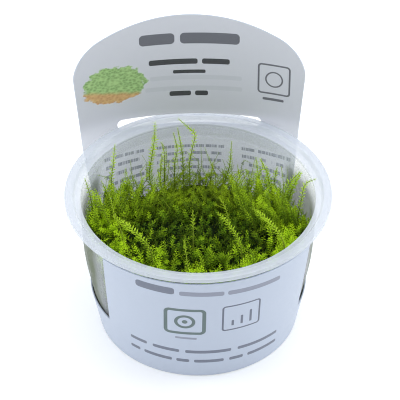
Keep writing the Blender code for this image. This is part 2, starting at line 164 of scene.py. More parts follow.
# Rings in the frames: part of the print, middle, radius, width of the line and ink; the second is a dot
RINGS = (
    (FRONT_OUTSIDE, LEFT_SIGN, 3.7, 1.2, "green"),
    (FRONT_OUTSIDE, LEFT_SIGN, 1.0, 1.0, "green"),
    (BACK_INSIDE, HEADER_SIGN, 3.4, 0.6, "grey"),
)

# Upright bars in the right frame: where each stands and how tall it is
RISING_BARS = ((8.9, 3.0), (12.2, 4.8), (15.5, 6.6))
RISING_BAR_FOOT = 28.0
RISING_BAR_WIDTH = 0.9

# Small print inside the back panel: left and right ends of its columns, and its rows
PRINT_COLUMNS = ((-33.0, -14.6), (-12.2, 14.2), (19.4, 39.0))
PRINT_PITCH = 3.1
PRINT_TOP = 43.4
PRINT_FOOT = 14.0

# Oval swatch on the header
SWATCH_MIDDLE = (-28.0, 72.6)
SWATCH_HALF = (12.6, 8.6)

# How soft the edges of the print are
PRINT_BLUR = 0.14

INKS = {
    "grey": (0.105, 0.110, 0.135),
    "slate": (0.085, 0.100, 0.150),
    "pale": (0.20, 0.22, 0.29),
    "black": (0.020, 0.022, 0.028),
    "green": (0.070, 0.115, 0.110),
    "ghost": (0.43, 0.46, 0.50),
    "dark leaf": (0.12, 0.28, 0.06),
    "pale leaf": (0.36, 0.55, 0.20),
    "dark earth": (0.45, 0.22, 0.07),
    "pale earth": (0.62, 0.42, 0.16),
}

# Soft round lights: name, place, width and colour, and the stage's value that holds the power
LIGHTS = (
    ("overhead light", (0.1, 0.1, 1.1), 0.9, (1.0, 0.995, 0.985), "key"),
    ("left light", (-0.85, 0.05, 0.4), 0.6, (0.96, 0.98, 1.0), "left"),
    ("right light", (0.85, 0.05, 0.4), 0.6, (0.96, 0.98, 1.0), "right"),
)
LIT_PLACE = Vector((0, 0, 0.04))
SKY_COLOUR = (0.95, 0.975, 1.0, 1.0)
FLOOR_WIDTH = 6.0


def length(name, description, millimetres):
    return FloatProperty(
        name=name, description=description, default=millimetres * MM, unit="LENGTH", precision=5
    )


def share(name, description, value):
    return FloatProperty(name=name, description=description, default=value, subtype="FACTOR")


def angle(name, description, degrees):
    return FloatProperty(
        name=name, description=description, default=math.radians(degrees), subtype="ANGLE"
    )


def colour(name, description, value):
    return FloatVectorProperty(
        name=name, description=description, default=value, size=3, subtype="COLOR", min=0, max=1
    )


def count(name, description, value):
    return IntProperty(name=name, description=description, default=value, min=1)


class MossCupShell(PropertyGroup):
    """Sizes and colour of the moulded cup."""

    height: length("Height", "Foot to the flange's top", CUP_HIGH.z / MM)
    flange_radius: length("Flange radius", "Outer edge of the flange", CUP_HIGH.x / MM)
    foot_radius: length("Foot radius", "Outside of the wall at the foot", 35.9)
    knee_height: length("Knee height", "Where the wall gets steeper", 30.0)
    knee_radius: length("Knee radius", "Outside of the wall at the knee", 41.4)
    step_height: length("Step height", "Where the stacking step leaves the wall", 47.2)
    step_radius: length("Step radius", "Outside of the wall at the step", 42.0)
    collar_radius: length("Collar radius", "Outside of the collar above the step", 42.45)
    ledge_drop: length("Ledge drop", "Depth of the lid's ledge below the flange", 1.7)
    ledge_radius: length("Ledge radius", "Where the ledge meets the flange's band", 43.7)
    skirt: length("Skirt", "Height of the flange's turned-down edge", 1.6)
    wall: length("Wall", "Thickness of the moulding", 0.85)
    floor: length("Floor", "Thickness of the floor", 1.1)
    recess: length("Recess", "Height of the floor's underside above the foot", 0.9)
    fillet: length("Fillet", "Inside radius where wall and floor meet", 2.2)
    edge: length("Edge", "Radius of the moulding's edges", 0.4)
    steps: count("Steps", "Steps of the turned moulding", 160)
    plastic: colour("Plastic", "Milky plastic", (0.63, 0.68, 0.75))
    streak: colour("Streak", "Flow marks in the plastic", (0.66, 0.70, 0.755))
    rim: colour("Rim", "Flange, where the plastic is thick", (0.69, 0.74, 0.82))
    film: colour("Film", "Wet green film where moss presses on the wall", (0.08, 0.11, 0.03))
    haze: share("Haze", "How milky the wall is", 0.14)
    flange_haze: share("Flange haze", "How milky the flange is", 0.60)


class MossCupSleeve(PropertyGroup):
    """Sizes and colours of the card sleeve."""

    card: length("Card", "Thickness of the card", 0.4)
    radius: length("Radius", "Radius of the wrapped card at the foot", 36.6)
    slope: share("Slope", "Gain in radius for each unit of height", 0.182)
    foot: length("Foot", "Lower edge of the card", SLEEVE_LOW.z / MM)
    band_top: length("Band top", "Lower edge of the windows", 15.5)
    panel_top: length("Panel top", "Upper edge of the front panel, below the flange", 52.4)
    front_left: angle("Front left", "Turn from the back's centre to the front panel's one edge", 119.2)
    front_right: angle("Front right", "Turn to the front panel's other edge", 237.6)
    back_edge: angle("Back edge", "Turn from the back's centre to the back panel's edge", 55)
    wrap_radius: length("Wrap radius", "Radius that turns widths into turns on the cup", 40.0)
    header_y: length("Header place", "How far behind the axis the header stands", 44.8)
    header_bend: length("Header bend", "Radius of the header's gentle curve", 100.0)
    header_lean: share("Header lean", "Backward lean for each unit of height", 0.045)
    header_twist: angle("Header twist", "Turn of the header about the upright", 2.3)
    half_width: length("Half width", "Half of the header's width", 43.6)
    wide_at: length("Wide at", "Height where the header is widest", 80.0)
    ease_to: length("Ease to", "Height where the card leaves the cup's curve", 56.0)
    arch_radius: length("Arch radius", "Radius of the header's top edge", 76.0)
    corner_radius: length("Corner radius", "Radius of the header's corners", 17.0)
    corner_reach: length("Corner reach", "Half width across the corners", 42.3)
    slot_half: length("Slot half width", "Half of the flange's slot", 26.8)
    slot_top: length("Slot top", "Upper edge of the slot", 56.6)
    white: colour("Card white", "Outside of the card", (0.46, 0.52, 0.625))
    # Header white is a lighter copy of the card's white: painted light on the header.
    header_painted_light: colour("Header white", "Header's front", (0.575, 0.592, 0.645))
    mottle: colour("Mottle", "Faint clouds in the card", (0.42, 0.46, 0.58))
    shine: share("Shine through", "Light that comes through the card from behind", 0.48)


class MossCupMoss(PropertyGroup):
    """Sizes and colours of the moss."""

    front_level: length("Front level", "Top of the cushion at the front", 43.5)
    back_drop: length("Back drop", "How much lower the cushion is at the back", 12.0)
    slope_start: length("Slope start", "Where the top starts to fall towards the back", -5.0)
    slope_length: length("Slope length", "How long the fall is", 43.0)
    dip: length("Dip", "Depth of the hollow at the right", 5.5)
    dip_x: length("Dip X", "Place of the hollow", 35.0)
    dip_y: length("Dip Y", "Place of the hollow", 8.0)
    dip_radius: length("Dip radius", "Reach of the hollow", 14.0)
    cover: length("Cover", "Depth of loose shoots over the solid tangle", 5.0)
    side_gap: length("Side gap", "Room for leaves between the tangle and the wall", 1.7)
    leaf_reach: length("Leaf reach", "From the stem to a leaf's tip", 1.2)
    leaf_width: length("Leaf width", "Across a leaf", 0.40)
    whorl_pitch: length("Whorl pitch", "Spacing of the leaf rows along a stem", 0.62)
    stem: length("Stem", "Radius of a stem", 0.15)
    # The shade middle and radius place painted shade that darkens the cushion's middle.
    shade_middle_x: length("Shelter X", "Middle of the sheltered dark part", -1.0)
    shade_middle_y: length("Shelter Y", "Middle of the sheltered dark part", -5.0)
    shade_radius: length("Shelter radius", "Reach of the sheltered dark part", 26.0)
    young: colour("Young", "Lit young leaves", (0.50, 0.74, 0.016))
    tender: colour("Tender", "Leaves of the long shoots", (0.47, 0.68, 0.035))
    mature: colour("Mature", "Older leaves", (0.120, 0.240, 0.006))
    shaded: colour("Shaded", "Leaves deep in the tangle", (0.010, 0.032, 0.002))
    wood: colour("Stems", "Bare stems", (0.100, 0.125, 0.010))


class Value:
    """A node's output that Python's arithmetic works on; each operation adds one node."""

    def __init__(self, graph, node, socket):
        self.graph = graph
        self.node = node
        self.socket = socket

    def other(self, name):
        """Another output of the same node."""
        return Value(self.graph, self.node, self.graph.pick(self.node.outputs, name))

    def maths(self, operation, *values, clamp=False):
        settings = {"operation": operation, "use_clamp": clamp}
        return self.graph.add("ShaderNodeMath", settings, dict(enumerate(values)))

    def clamped(self):
        return self.maths("ADD", self, 0.0, clamp=True)

    def __add__(self, other):
        return self.maths("ADD", self, other)

    def __sub__(self, other):
        return self.maths("SUBTRACT", self, other)

    def __mul__(self, other):
        return self.maths("MULTIPLY", self, other)

    def __truediv__(self, other):
        return self.maths("DIVIDE", self, other)

    def __pow__(self, other):
        return self.maths("POWER", self, other)

    def __gt__(self, other):
        return self.maths("GREATER_THAN", self, other)

    def __lt__(self, other):
        return self.maths("LESS_THAN", self, other)

    def __neg__(self):
        return self.maths("MULTIPLY", self, -1.0)

    def __abs__(self):
        return self.maths("ABSOLUTE", self)

    def __rsub__(self, other):
        return self.maths("SUBTRACT", other, self)

    def __rtruediv__(self, other):
        return self.maths("DIVIDE", other, self)

    __radd__ = __add__
    __rmul__ = __mul__


class Graph:
    """Adds nodes to a shader or geometry tree."""

    def __init__(self, tree):
        self.tree = tree

    def pick(self, sockets, name):
        if isinstance(name, int):
            return [socket for socket in sockets if socket.enabled][name]
        return next(socket for socket in sockets if socket.enabled and socket.name == name)

    def add(self, kind, settings=None, sockets=None, output=0):
        """A node of a kind, with its settings made first, then its sockets' values or links."""
        node = self.tree.nodes.new(kind)
        for name, value in (settings or {}).items():
            if name == "stops":
                self.set_stops(node.color_ramp, value)
            else:
                setattr(node, name, value)
        for name, value in (sockets or {}).items():
            self.feed(self.pick(node.inputs, name), value)
        return Value(self, node, self.pick(node.outputs, output)) if node.outputs else node

    def feed(self, socket, value):
        if isinstance(value, Value):
            self.tree.links.new(value.socket, socket)
        elif socket.type == "RGBA":
            socket.default_value = (*value, 1.0)
        else:
            socket.default_value = value

    def set_stops(self, ramp, stops):
        while len(ramp.elements) < len(stops):
            ramp.elements.new(1.0)
        for element, (place, value) in zip(ramp.elements, stops):
            element.position = place
            element.color = (*value, 1.0)

    def vector(self, operation, *values, output=0):
        return self.add("ShaderNodeVectorMath", {"operation": operation}, dict(enumerate(values)), output)

    def combine(self, x, y, z):
        return self.add("ShaderNodeCombineXYZ", None, {"X": x, "Y": y, "Z": z})

    def parts(self, vector):
        split = self.add("ShaderNodeSeparateXYZ", None, {"Vector": vector})
        return split, split.other("Y"), split.other("Z")

    def mix(self, factor, a, b):
        """Two colours mixed."""
        settings = {"data_type": "RGBA", "clamp_factor": True}
        return self.add("ShaderNodeMix", settings, {"Factor": factor, "A": a, "B": b})

    def noise(self, vector, scale, detail=2.0, output="Fac"):
        sockets = {"Vector": vector, "Scale": scale, "Detail": detail}
        return self.add("ShaderNodeTexNoise", None, sockets, output)

    def step(self, value, start, end):
        """0 before start, 1 after end, smooth between."""
        sockets = {"Value": value, "From Min": start, "From Max": end}
        return self.add("ShaderNodeMapRange", {"interpolation_type": "SMOOTHSTEP"}, sockets)


def deselect():
    if bpy.context.mode != "OBJECT":
        bpy.ops.object.mode_set(mode="OBJECT")
    bpy.ops.object.select_all(action="DESELECT")


def activate(obj):
    deselect()
    obj.select_set(True)
    bpy.context.view_layer.objects.active = obj


def edit(obj):
    activate(obj)
    bpy.ops.object.mode_set(mode="EDIT")


def leave_edit():
    bpy.ops.object.mode_set(mode="OBJECT")


def named(obj, name):
    obj.name = name
    obj.data.name = name
    return obj


def apply_modifiers(obj):
    activate(obj)
    for modifier in list(obj.modifiers):
        bpy.ops.object.modifier_apply(modifier=modifier.name)


def apply_place(obj):
    activate(obj)
    bpy.ops.object.transform_apply(location=True, rotation=True, scale=True)


def remove(obj):
    bpy.data.objects.remove(obj, do_unlink=True)


def draw_path(name, points):
    """A chain of edges through points, drawn by extruding one vertex."""
    deselect()
    bpy.ops.mesh.primitive_plane_add(size=MM, location=points[0])
    path = named(bpy.context.active_object, name)
    bpy.ops.object.mode_set(mode="EDIT")
    bpy.ops.mesh.select_mode(type="VERT")
    bpy.ops.mesh.merge(type="CENTER")
    for before, after in zip(points, points[1:]):
        step = Vector(after) - Vector(before)
        bpy.ops.mesh.extrude_vertices_move(TRANSFORM_OT_translate={"value": step})
    leave_edit()
    apply_place(path)
    return path


def rounded(corners, steps=4):
    """A profile from corners (radius, height, rounding), each rounded by a short curve."""
    profile = []
    for i, (radius, height, rounding) in enumerate(corners):
        here = Vector((radius, height))
        if rounding == 0 or i in (0, len(corners) - 1):
            profile.append(here)
            continue
        before = Vector(corners[i - 1][:2]) - here
        after = Vector(corners[i + 1][:2]) - here
        start = here + before.normalized() * min(rounding, before.length * 0.49)
        end = here + after.normalized() * min(rounding, after.length * 0.49)
        for j in range(steps + 1):
            t = j / steps
            profile.append(start * (1 - t) ** 2 + here * 2 * t * (1 - t) + end * t ** 2)
    return profile


def smooth_step(value):
    value = min(max(value, 0.0), 1.0)
    return value * value * (3 - 2 * value)


def finish_piece(piece, material, slot, *nodes):
    """Wears one material, rides with the cup and stands for CAD nodes; the slot is not used."""
    piece.data.materials.clear()
    piece.data.materials.append(material)
    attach(piece, "root")
    if nodes:
        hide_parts(*nodes)


def new_material(name):
    """A material with an empty tree but for its output and one Principled shader."""
    material = bpy.data.materials.new(name)
    material.use_nodes = True
    tree = material.node_tree
    return material, Graph(tree), tree.nodes["Principled BSDF"]


def set_shader(graph, shader, **values):
    for name, value in values.items():
        graph.feed(shader.inputs[name.replace("_", " ")], value)


def bump(graph, shader, height, distance, strength=1.0):
    sockets = {"Height": height, "Distance": distance, "Strength": strength}
    graph.feed(shader.inputs["Normal"], graph.add("ShaderNodeBump", None, sockets))


def object_place(graph):
    return graph.add("ShaderNodeTexCoord", None, None, "Object")


def wall_radius(height):
    """Outer radius of the cup's wall below the stacking step."""
    cup = bpy.context.scene.moss_cup_shell
    if height < cup.knee_height:
        return cup.foot_radius + (cup.knee_radius - cup.foot_radius) * height / cup.knee_height
    above = (height - cup.knee_height) / (cup.step_height - cup.knee_height)
    return cup.knee_radius + (cup.step_radius - cup.knee_radius) * above


def cup_corners(cup):
    """The moulding's section from the floor's middle over the flange and back under the floor."""
    floor = cup.recess + cup.floor
    ledge = cup.height - cup.ledge_drop
    collar = cup.collar_radius - cup.wall
    band = cup.ledge_radius + 0.9 * MM
    skirt_end = cup.height - cup.skirt
    under = cup.height - cup.wall
    ring = cup.foot_radius - 2.0 * MM
    edge = cup.edge
    return [
        (0.0, floor, 0),
        (wall_radius(floor) - cup.wall, floor, cup.fillet),
        (cup.knee_radius - cup.wall, cup.knee_height, 6 * MM),
        (cup.step_radius - cup.wall, cup.step_height + 0.4 * MM, edge),
        (collar, cup.step_height + 1.4 * MM, edge),
        (collar + 0.1 * MM, ledge, edge),
        (cup.ledge_radius, ledge, edge),
        (band, cup.height, edge),
        (cup.flange_radius, cup.height, edge),
        (cup.flange_radius, skirt_end, edge),
        (cup.flange_radius - cup.wall, skirt_end, edge),
        (cup.flange_radius - cup.wall, under, edge),
        (band + cup.wall, under, edge),
        (cup.ledge_radius + 0.5 * MM, ledge - cup.wall, edge),
        (cup.collar_radius + 0.1 * MM, ledge - cup.wall, edge),
        (cup.collar_radius, cup.step_height + 1.0 * MM, edge),
        (cup.step_radius, cup.step_height, edge),
        (cup.knee_radius, cup.knee_height, 6 * MM),
        (cup.foot_radius, 0.0, 0.7 * MM),
        (ring, 0.0, edge),
        (ring - 0.6 * MM, cup.recess, edge),
        (0.0, cup.recess, 0),
    ]


def plastic_material(cup):
    """Milky plastic: clear in the thin wall, whiter in the flange, green where moss presses on it."""
    material, graph, shader = new_material("milky plastic")
    place = object_place(graph)
    x, y, z = graph.parts(place)
    radius = (x * x + y * y) ** 0.5
    flange = graph.step(z, cup.height - 3.2 * MM, cup.height - 1.6 * MM)
    collar = graph.step(z, cup.step_height - 0.6 * MM, cup.step_height + 1.2 * MM)
    foot = 1 - graph.step(z, 1.8 * MM, 4.0 * MM)
    flow = graph.noise(graph.combine(x * 0.4, y * 0.4, z), 90.0, 3.0)
    facing = graph.add("ShaderNodeLayerWeight", None, {"Blend": 0.35}, "Facing")
    clear = cup.haze + 0.11 * collar + 0.25 * foot + 0.06 * (flow - 0.5)
    haze = clear + (cup.flange_haze - clear) * flange
    side = graph.step(abs(x), 33 * MM, 36 * MM) * (1 - graph.step(z, 44 * MM, 51 * MM))
    pressed = side * graph.step(y + 5 * MM * flow, -18 * MM, -12 * MM)
    alpha = haze + (1 - haze) * 0.22 * facing ** 2.0 + 0.10 * side + 0.35 * pressed
    tint = graph.mix(flow, cup.plastic, cup.streak)
    tint = graph.mix(flange, tint, cup.rim)
    tint = graph.mix(pressed * (0.6 + 0.4 * flow), tint, cup.film)
    rings = graph.noise(graph.combine(radius * 6, z * 6, 0.0), 160.0, 2.0)
    bump(graph, shader, rings + 0.4 * flow, 0.00003)
    set_shader(
        graph, shader, Base_Color=tint, Roughness=0.20 + 0.10 * flow + 0.3 * pressed,
        Alpha=alpha.clamped(), IOR=1.49, Coat_Weight=(0.35 + 0.15 * flow) * (1 - pressed),
        Coat_Roughness=0.10,
    )
    return material


class MOSSCUP_OT_cup(Operator):
    """Turns the moulded cup from its section"""

    bl_idname = "moss_cup.make_cup"
    bl_label = "Make Cup"

    def execute(self, context):
        cup = context.scene.moss_cup_shell
        profile = [Vector((p.x, 0, p.y)) for p in rounded(cup_corners(cup))]
        shell = draw_path("cup_moulding", profile)
        edit(shell)
        bpy.ops.mesh.select_all(action="SELECT")
        bpy.ops.mesh.spin(steps=cup.steps, angle=2 * math.pi, center=(0, 0, 0), axis=(0, 0, 1))
        bpy.ops.mesh.select_all(action="SELECT")
        bpy.ops.mesh.remove_doubles(threshold=0.01 * MM)
        bpy.ops.mesh.normals_make_consistent(inside=False)
        leave_edit()
        bpy.ops.object.shade_smooth_by_angle(angle=math.radians(30))
        finish_piece(shell, plastic_material(cup), "cup_plastic", "cup")
        return {"FINISHED"}


def on_cone(sleeve, turn, height):
    """A place on the card where it wraps the cup, turn measured from the back's centre."""
    radius = sleeve.radius + sleeve.slope * height
    return Vector((radius * math.sin(turn), radius * math.cos(turn), height))


def header_turn(sleeve):
    return Matrix.Translation((0, sleeve.header_y, 0)) @ Matrix.Rotation(-sleeve.header_twist, 4, "Z")


def on_header(sleeve, along, height):
    """A place on the card where it stands behind the cup, along measured from its centre."""
    bend = along / sleeve.header_bend
    reach = sleeve.header_bend
    lean = sleeve.header_lean * (height - bpy.context.scene.moss_cup_shell.height)
    place = Vector((reach * math.sin(bend), reach * (math.cos(bend) - 1), height))
    return header_turn(sleeve) @ place + Vector((0, lean, 0))


def header_top(sleeve, along):
    """Height of the header's edge: a wide arch that runs into two round corners."""
    x = abs(sleeve.header_bend * math.sin(along / sleeve.header_bend))
    x = min(x, sleeve.corner_reach)
    centre = SLEEVE_HIGH.z - sleeve.arch_radius
    corner_x = sleeve.corner_reach - sleeve.corner_radius
    to_corner = sleeve.arch_radius - sleeve.corner_radius
    corner_z = centre + math.sqrt(to_corner ** 2 - corner_x ** 2)
    meet = corner_x / to_corner * sleeve.arch_radius
    if x < meet:
        return centre + math.sqrt(sleeve.arch_radius ** 2 - x ** 2)
    return corner_z + math.sqrt(max(sleeve.corner_radius ** 2 - (x - corner_x) ** 2, 0.0))


def spread(start, end, number, crowd=0.0):
    """Places from start up to end, without end; crowd draws them towards both ends."""
    places = []
    for i in range(number):
        t = i / number
        eased = (1 - math.cos(math.pi * t)) / 2
        places.append(start + (end - start) * (t + (eased - t) * crowd))
    return places


def sleeve_columns(sleeve):
    """Turns of the sheet's upright lines, and which belong to the back panel."""
    edges = (-sleeve.back_edge, sleeve.back_edge, sleeve.front_left, sleeve.front_right,
             2 * math.pi - sleeve.back_edge)
    counts = (64, 20, 48, 20)
    crowds = (0.85, 0.0, 0.0, 0.0)
    turns = []
    for start, end, number, crowd in zip(edges, edges[1:], counts, crowds):
        turns += spread(start, end, number, crowd)
    return turns + [edges[-1]]


def sleeve_rows(sleeve):
    """Heights up to the panel's top, then shares of the way up the header."""
    rows = spread(sleeve.foot, sleeve.band_top, 6) + spread(sleeve.band_top, sleeve.panel_top, 18)
    return rows, spread(0.0, 1.0, 26) + [1.0]


def card_place(sleeve, turn, row, rows, header_rows):
    """Where a point of the flat sheet goes, and its (along, height) on the print."""
    on_back = turn <= sleeve.back_edge + 0.001
    narrow = sleeve.wrap_radius * sleeve.back_edge
    if row < len(rows):
        height = rows[row]
    else:
        along = turn / sleeve.back_edge * sleeve.half_width
        top = header_top(sleeve, along) if on_back else SLEEVE_HIGH.z
        height = sleeve.panel_top + (top - sleeve.panel_top) * header_rows[row - len(rows)]
    radius = sleeve.radius + sleeve.slope * height
    if not on_back:
        widest = sleeve.radius + sleeve.slope * min(height, sleeve.band_top)
        from_front = (turn - math.pi) * widest / radius
        return on_cone(sleeve, math.pi + from_front, height), (-from_front * radius, height)
    if height <= sleeve.band_top + 1e-7:
        return on_cone(sleeve, turn, height), (turn * radius, height)
    widening = min((height - sleeve.band_top) / (sleeve.wide_at - sleeve.band_top), 1.0)
    along = turn / sleeve.back_edge * (narrow + (sleeve.half_width - narrow) * widening)
    ease = smooth_step((height - sleeve.band_top) / (sleeve.ease_to - sleeve.band_top))
    wrapped = on_cone(sleeve, along / sleeve.wrap_radius, height)
    return wrapped.lerp(on_header(sleeve, along, height), ease), (along, height)


def mark_windows(sheet, sleeve, turns, rows, flat):
    """Selects the card above the band between the front and the back panel."""
    front_start, front_end = turns.index(sleeve.front_left), turns.index(sleeve.front_right)
    back_end = turns.index(sleeve.back_edge)
    band_end = rows.index(sleeve.band_top)
    edit(sheet)
    bpy.ops.mesh.select_mode(type="FACE")
    bpy.ops.mesh.select_all(action="DESELECT")
    leave_edit()
    for face in sheet.data.polygons:
        column = min(flat[v][0] for v in face.vertices)
        row = min(flat[v][1] for v in face.vertices)
        in_front = front_start <= column < front_end and row < len(rows)
        face.select = row >= band_end and column >= back_end and not in_front


def lay_out_sheet(sleeve):
    """The blank: a grid that is wrapped round the cup, mapped flat for its print, its windows deleted."""
    turns = sleeve_columns(sleeve)
    rows, header_rows = sleeve_rows(sleeve)
    last_column, last_row = len(turns) - 1, len(rows) + len(header_rows) - 1
    deselect()
    bpy.ops.mesh.primitive_grid_add(x_subdivisions=last_column, y_subdivisions=last_row, size=1)
    sheet = named(bpy.context.active_object, "card_sleeve")
    flat = {}
    for vert in sheet.data.vertices:
        column = round((vert.co.x + 0.5) * last_column)
        row = round((vert.co.y + 0.5) * last_row)
        flat[vert.index] = (column, row)
    mark_windows(sheet, sleeve, turns, rows, flat)
    wrapped = {
        index: card_place(sleeve, turns[column], row, rows, header_rows)
        for index, (column, row) in flat.items()
    }
    print_map = sheet.data.uv_layers.active.data
    for loop in sheet.data.loops:
        print_map[loop.index].uv = Vector(wrapped[loop.vertex_index][1]) / MM
    for vert in sheet.data.vertices:
        vert.co = wrapped[vert.index][0]
    bpy.ops.object.mode_set(mode="EDIT")
    bpy.ops.mesh.delete(type="FACE")
    bpy.ops.mesh.select_all(action="SELECT")
    bpy.ops.mesh.remove_doubles(threshold=0.05 * MM)
    bpy.ops.mesh.normals_make_consistent(inside=False)
    leave_edit()
    return sheet


def slot_cutter(sleeve):
    """The slot for the flange's back: a rod pulled apart into a long hole with round ends."""
    radius = (sleeve.slot_top - sleeve.panel_top) / 2
    middle = (sleeve.slot_top + sleeve.panel_top) / 2
    deselect()
    bpy.ops.mesh.primitive_cylinder_add(
        vertices=32, radius=radius, depth=30 * MM, location=(0, 0, middle), rotation=(math.pi / 2, 0, 0)
    )
    cutter = named(bpy.context.active_object, "slot_cutter")
    apply_place(cutter)
    reach = sleeve.slot_half - radius
    for vert in cutter.data.vertices:
        vert.co.x += math.copysign(reach, vert.co.x) if abs(vert.co.x) > 1e-7 else 0.0
    cutter.data.transform(header_turn(sleeve))
    return cutter


def part_the_print(sheet, sleeve):
    """Moves each face's UVs to its own part of the print: outside or inside, front or back."""
    print_map = sheet.data.uv_layers.active.data
    for face in sheet.data.polygons:
        outwards = face.normal.x * face.center.x + face.normal.y * face.center.y > 0
        at_back = face.center.y > 0 and abs(print_map[face.loop_start].uv.x) < 50
        if at_back:
            part = BACK_OUTSIDE if outwards else BACK_INSIDE
        else:
            part = FRONT_OUTSIDE if outwards else BLANK
        for i in face.loop_indices:
            print_map[i].uv.x += part


def soft_box(graph, u, v, middle, size, rounding):
    """1 inside a box with round corners on the print, 0 outside."""
    half = (size[0] / 2 - rounding, size[1] / 2 - rounding, 0.0)
    from_middle = graph.vector("ABSOLUTE", graph.combine(u - middle[0], v - middle[1], 0.0))
    past = graph.vector("MAXIMUM", graph.vector("SUBTRACT", from_middle, half), (0.0, 0.0, 0.0))
    away = graph.vector("LENGTH", past, output="Value")
    return ((rounding - away) / PRINT_BLUR + 0.5).clamped()


def soft_frame(graph, u, v, middle, size, rounding, line):
    inner = (size[0] - 2 * line, size[1] - 2 * line)
    hole = soft_box(graph, u, v, middle, inner, max(rounding - line, 0.2))
    return soft_box(graph, u, v, middle, size, rounding) * (1 - hole)


def print_column(graph, u, row, left, right):
    """1 between a column's straight left end and its ragged right end."""
    ragged = graph.noise(graph.combine(row * 3.7, left, 0.0), 1.0, 0.0) * 9.0
    return graph.step(u, left - 0.1, left + 0.1) * (1 - graph.step(u + ragged, right + 2.0, right + 2.3))


def small_print(graph, u, v):
    """Small print inside the back panel: rows of plain word bars in columns."""
    down = (PRINT_TOP - v) / PRINT_PITCH
    row = down.maths("FLOOR", down)
    line = graph.step(abs(down - row - 0.5), 0.24, 0.17)
    columns = sum(print_column(graph, u, row, left, right) for left, right in PRINT_COLUMNS)
    word = graph.noise(graph.combine(u * 0.42, row * 5.3, 0.0), 1.0, 0.0)
    words = graph.step(word, 0.37, 0.40)
    letter = graph.noise(graph.combine(u * 1.9, row * 9.1, 0.0), 1.0, 0.0)
    letters = 0.35 + 0.65 * graph.step(letter, 0.40, 0.50)
    printed = graph.step(v, PRINT_FOOT, PRINT_FOOT + 0.4)
    printed = printed * (1 - graph.step(v, PRINT_TOP - 0.2, PRINT_TOP + 0.1))
    return (line * columns * words * letters * printed).clamped()


def picture(graph, u, v):
    """A generic swatch in an oval: mottled greens over brown ground."""
    x = (u - SWATCH_MIDDLE[0]) / SWATCH_HALF[0]
    y = (v - SWATCH_MIDDLE[1]) / SWATCH_HALF[1]
    wobble = graph.noise(graph.combine(u, v, 3.0), 0.5, 2.0) * 0.5
    inside = 1 - graph.step((x * x + y * y) ** 0.5 + wobble, 1.14, 1.22)
    sockets = {"Vector": graph.combine(u, v * 1.4, 0.0), "Scale": 0.85}
    blobs = graph.add("ShaderNodeTexVoronoi", {"feature": "F1"}, sockets)
    leaf = graph.mix(blobs * 1.2, INKS["dark leaf"], INKS["pale leaf"])
    earth = graph.mix(blobs, INKS["dark earth"], INKS["pale earth"])
    ground = 1 - graph.step(y + 0.5 * wobble + 0.28 * x, -0.42, -0.16)
    return graph.mix(ground, leaf, earth), inside * 0.92


def add_motifs(graph, u, v, paper):
    """Plain figures in the frames: a ring with a dot, rising bars and a ring."""
    for part, middle, radius, line, ink in RINGS:
        from_middle = graph.combine(u - part - middle[0], v - middle[1], 0.0)
        away = graph.vector("LENGTH", from_middle, output="Value")
        mask = ((line / 2 - abs(away - (radius - line / 2))) / PRINT_BLUR + 0.5).clamped()
        paper = graph.mix(mask * 0.94, paper, INKS[ink])
    for place, height in RISING_BARS:
        middle = (place, RISING_BAR_FOOT + height / 2)
        mask = soft_box(graph, u, v, middle, (RISING_BAR_WIDTH, height), 0.3)
        paper = graph.mix(mask * 0.9, paper, INKS["slate"])
    return paper


def card_material(sleeve):
    """Satin white card with plain bars, frames and a swatch printed on its flat layout."""
    material, graph, shader = new_material("printed card")
    flat = graph.add("ShaderNodeUVMap", {"uv_map": "UVMap"})
    u, v, _ = graph.parts(flat)
    place = object_place(graph)
    grain = graph.noise(place, 700.0, 3.0)
    cloud = graph.noise(place, 18.0, 1.0)
    header = graph.step(u, 150.0, 151.0) * (1 - graph.step(u, 300.0, 301.0))
    # The header gets the lighter copy of the card's white, painted light.
    paper = graph.mix(header, sleeve.white, sleeve.header_painted_light)
    paper = graph.mix(0.05 * cloud + 0.06 * grain, paper, sleeve.mottle)
    back_u = u - BACK_INSIDE
    for middle, size, ink in HEADER_BARS:
        mask = soft_box(graph, back_u, v, middle, size, 0.35 * size[1])
        paper = graph.mix(mask * (0.35 if ink == "ghost" else 0.94), paper, INKS[ink])
    level = v - FRONT_SLOPE * u
    for middle, size, ink in FRONT_BARS:
        mask = soft_box(graph, u, level, middle, size, 0.35 * size[1])
        paper = graph.mix(mask * 0.85, paper, INKS[ink])
    for part, middle, size, rounding, line, ink in FRAMES:
        mask = soft_frame(graph, u - part, v, middle, size, rounding, line)
        paper = graph.mix(mask * 0.94, paper, INKS[ink])
    paper = add_motifs(graph, u, v, paper)
    swatch, inside = picture(graph, back_u, v)
    paper = graph.mix(inside * header, paper, swatch)
    paper = graph.mix(small_print(graph, back_u, v) * header * 0.75, paper, INKS["slate"])
    lit = header * (1 - 0.75 * graph.step(v, 50.0, 60.0))
    bump(graph, shader, grain, 0.00002, 0.6)
    set_shader(
        graph, shader, Base_Color=paper, Roughness=0.38 + 0.15 * grain, IOR=1.5,
        Coat_Weight=0.08 + 0.10 * cloud, Coat_Roughness=0.25,
        Emission_Color=graph.mix(lit, (0.0, 0.0, 0.0), paper), Emission_Strength=sleeve.shine,
    )
    return material


class MOSSCUP_OT_sleeve(Operator):
    """Cuts the card blank and wraps it round the cup"""

    bl_idname = "moss_cup.make_sleeve"
    bl_label = "Make Sleeve"

    def execute(self, context):
        sleeve = context.scene.moss_cup_sleeve
        sheet = lay_out_sheet(sleeve)
        cutter = slot_cutter(sleeve)
        thickness = sheet.modifiers.new("card", "SOLIDIFY")
        thickness.thickness = sleeve.card
        thickness.offset = 0.0
        slot = sheet.modifiers.new("slot", "BOOLEAN")
        slot.operation = "DIFFERENCE"
        slot.object = cutter
        apply_modifiers(sheet)
        remove(cutter)
        part_the_print(sheet, sleeve)
        activate(sheet)
        bpy.ops.object.shade_smooth_by_angle(angle=math.radians(35))
        finish_piece(sheet, card_material(sleeve), "sleeve_card", "label_sleeve")
        return {"FINISHED"}


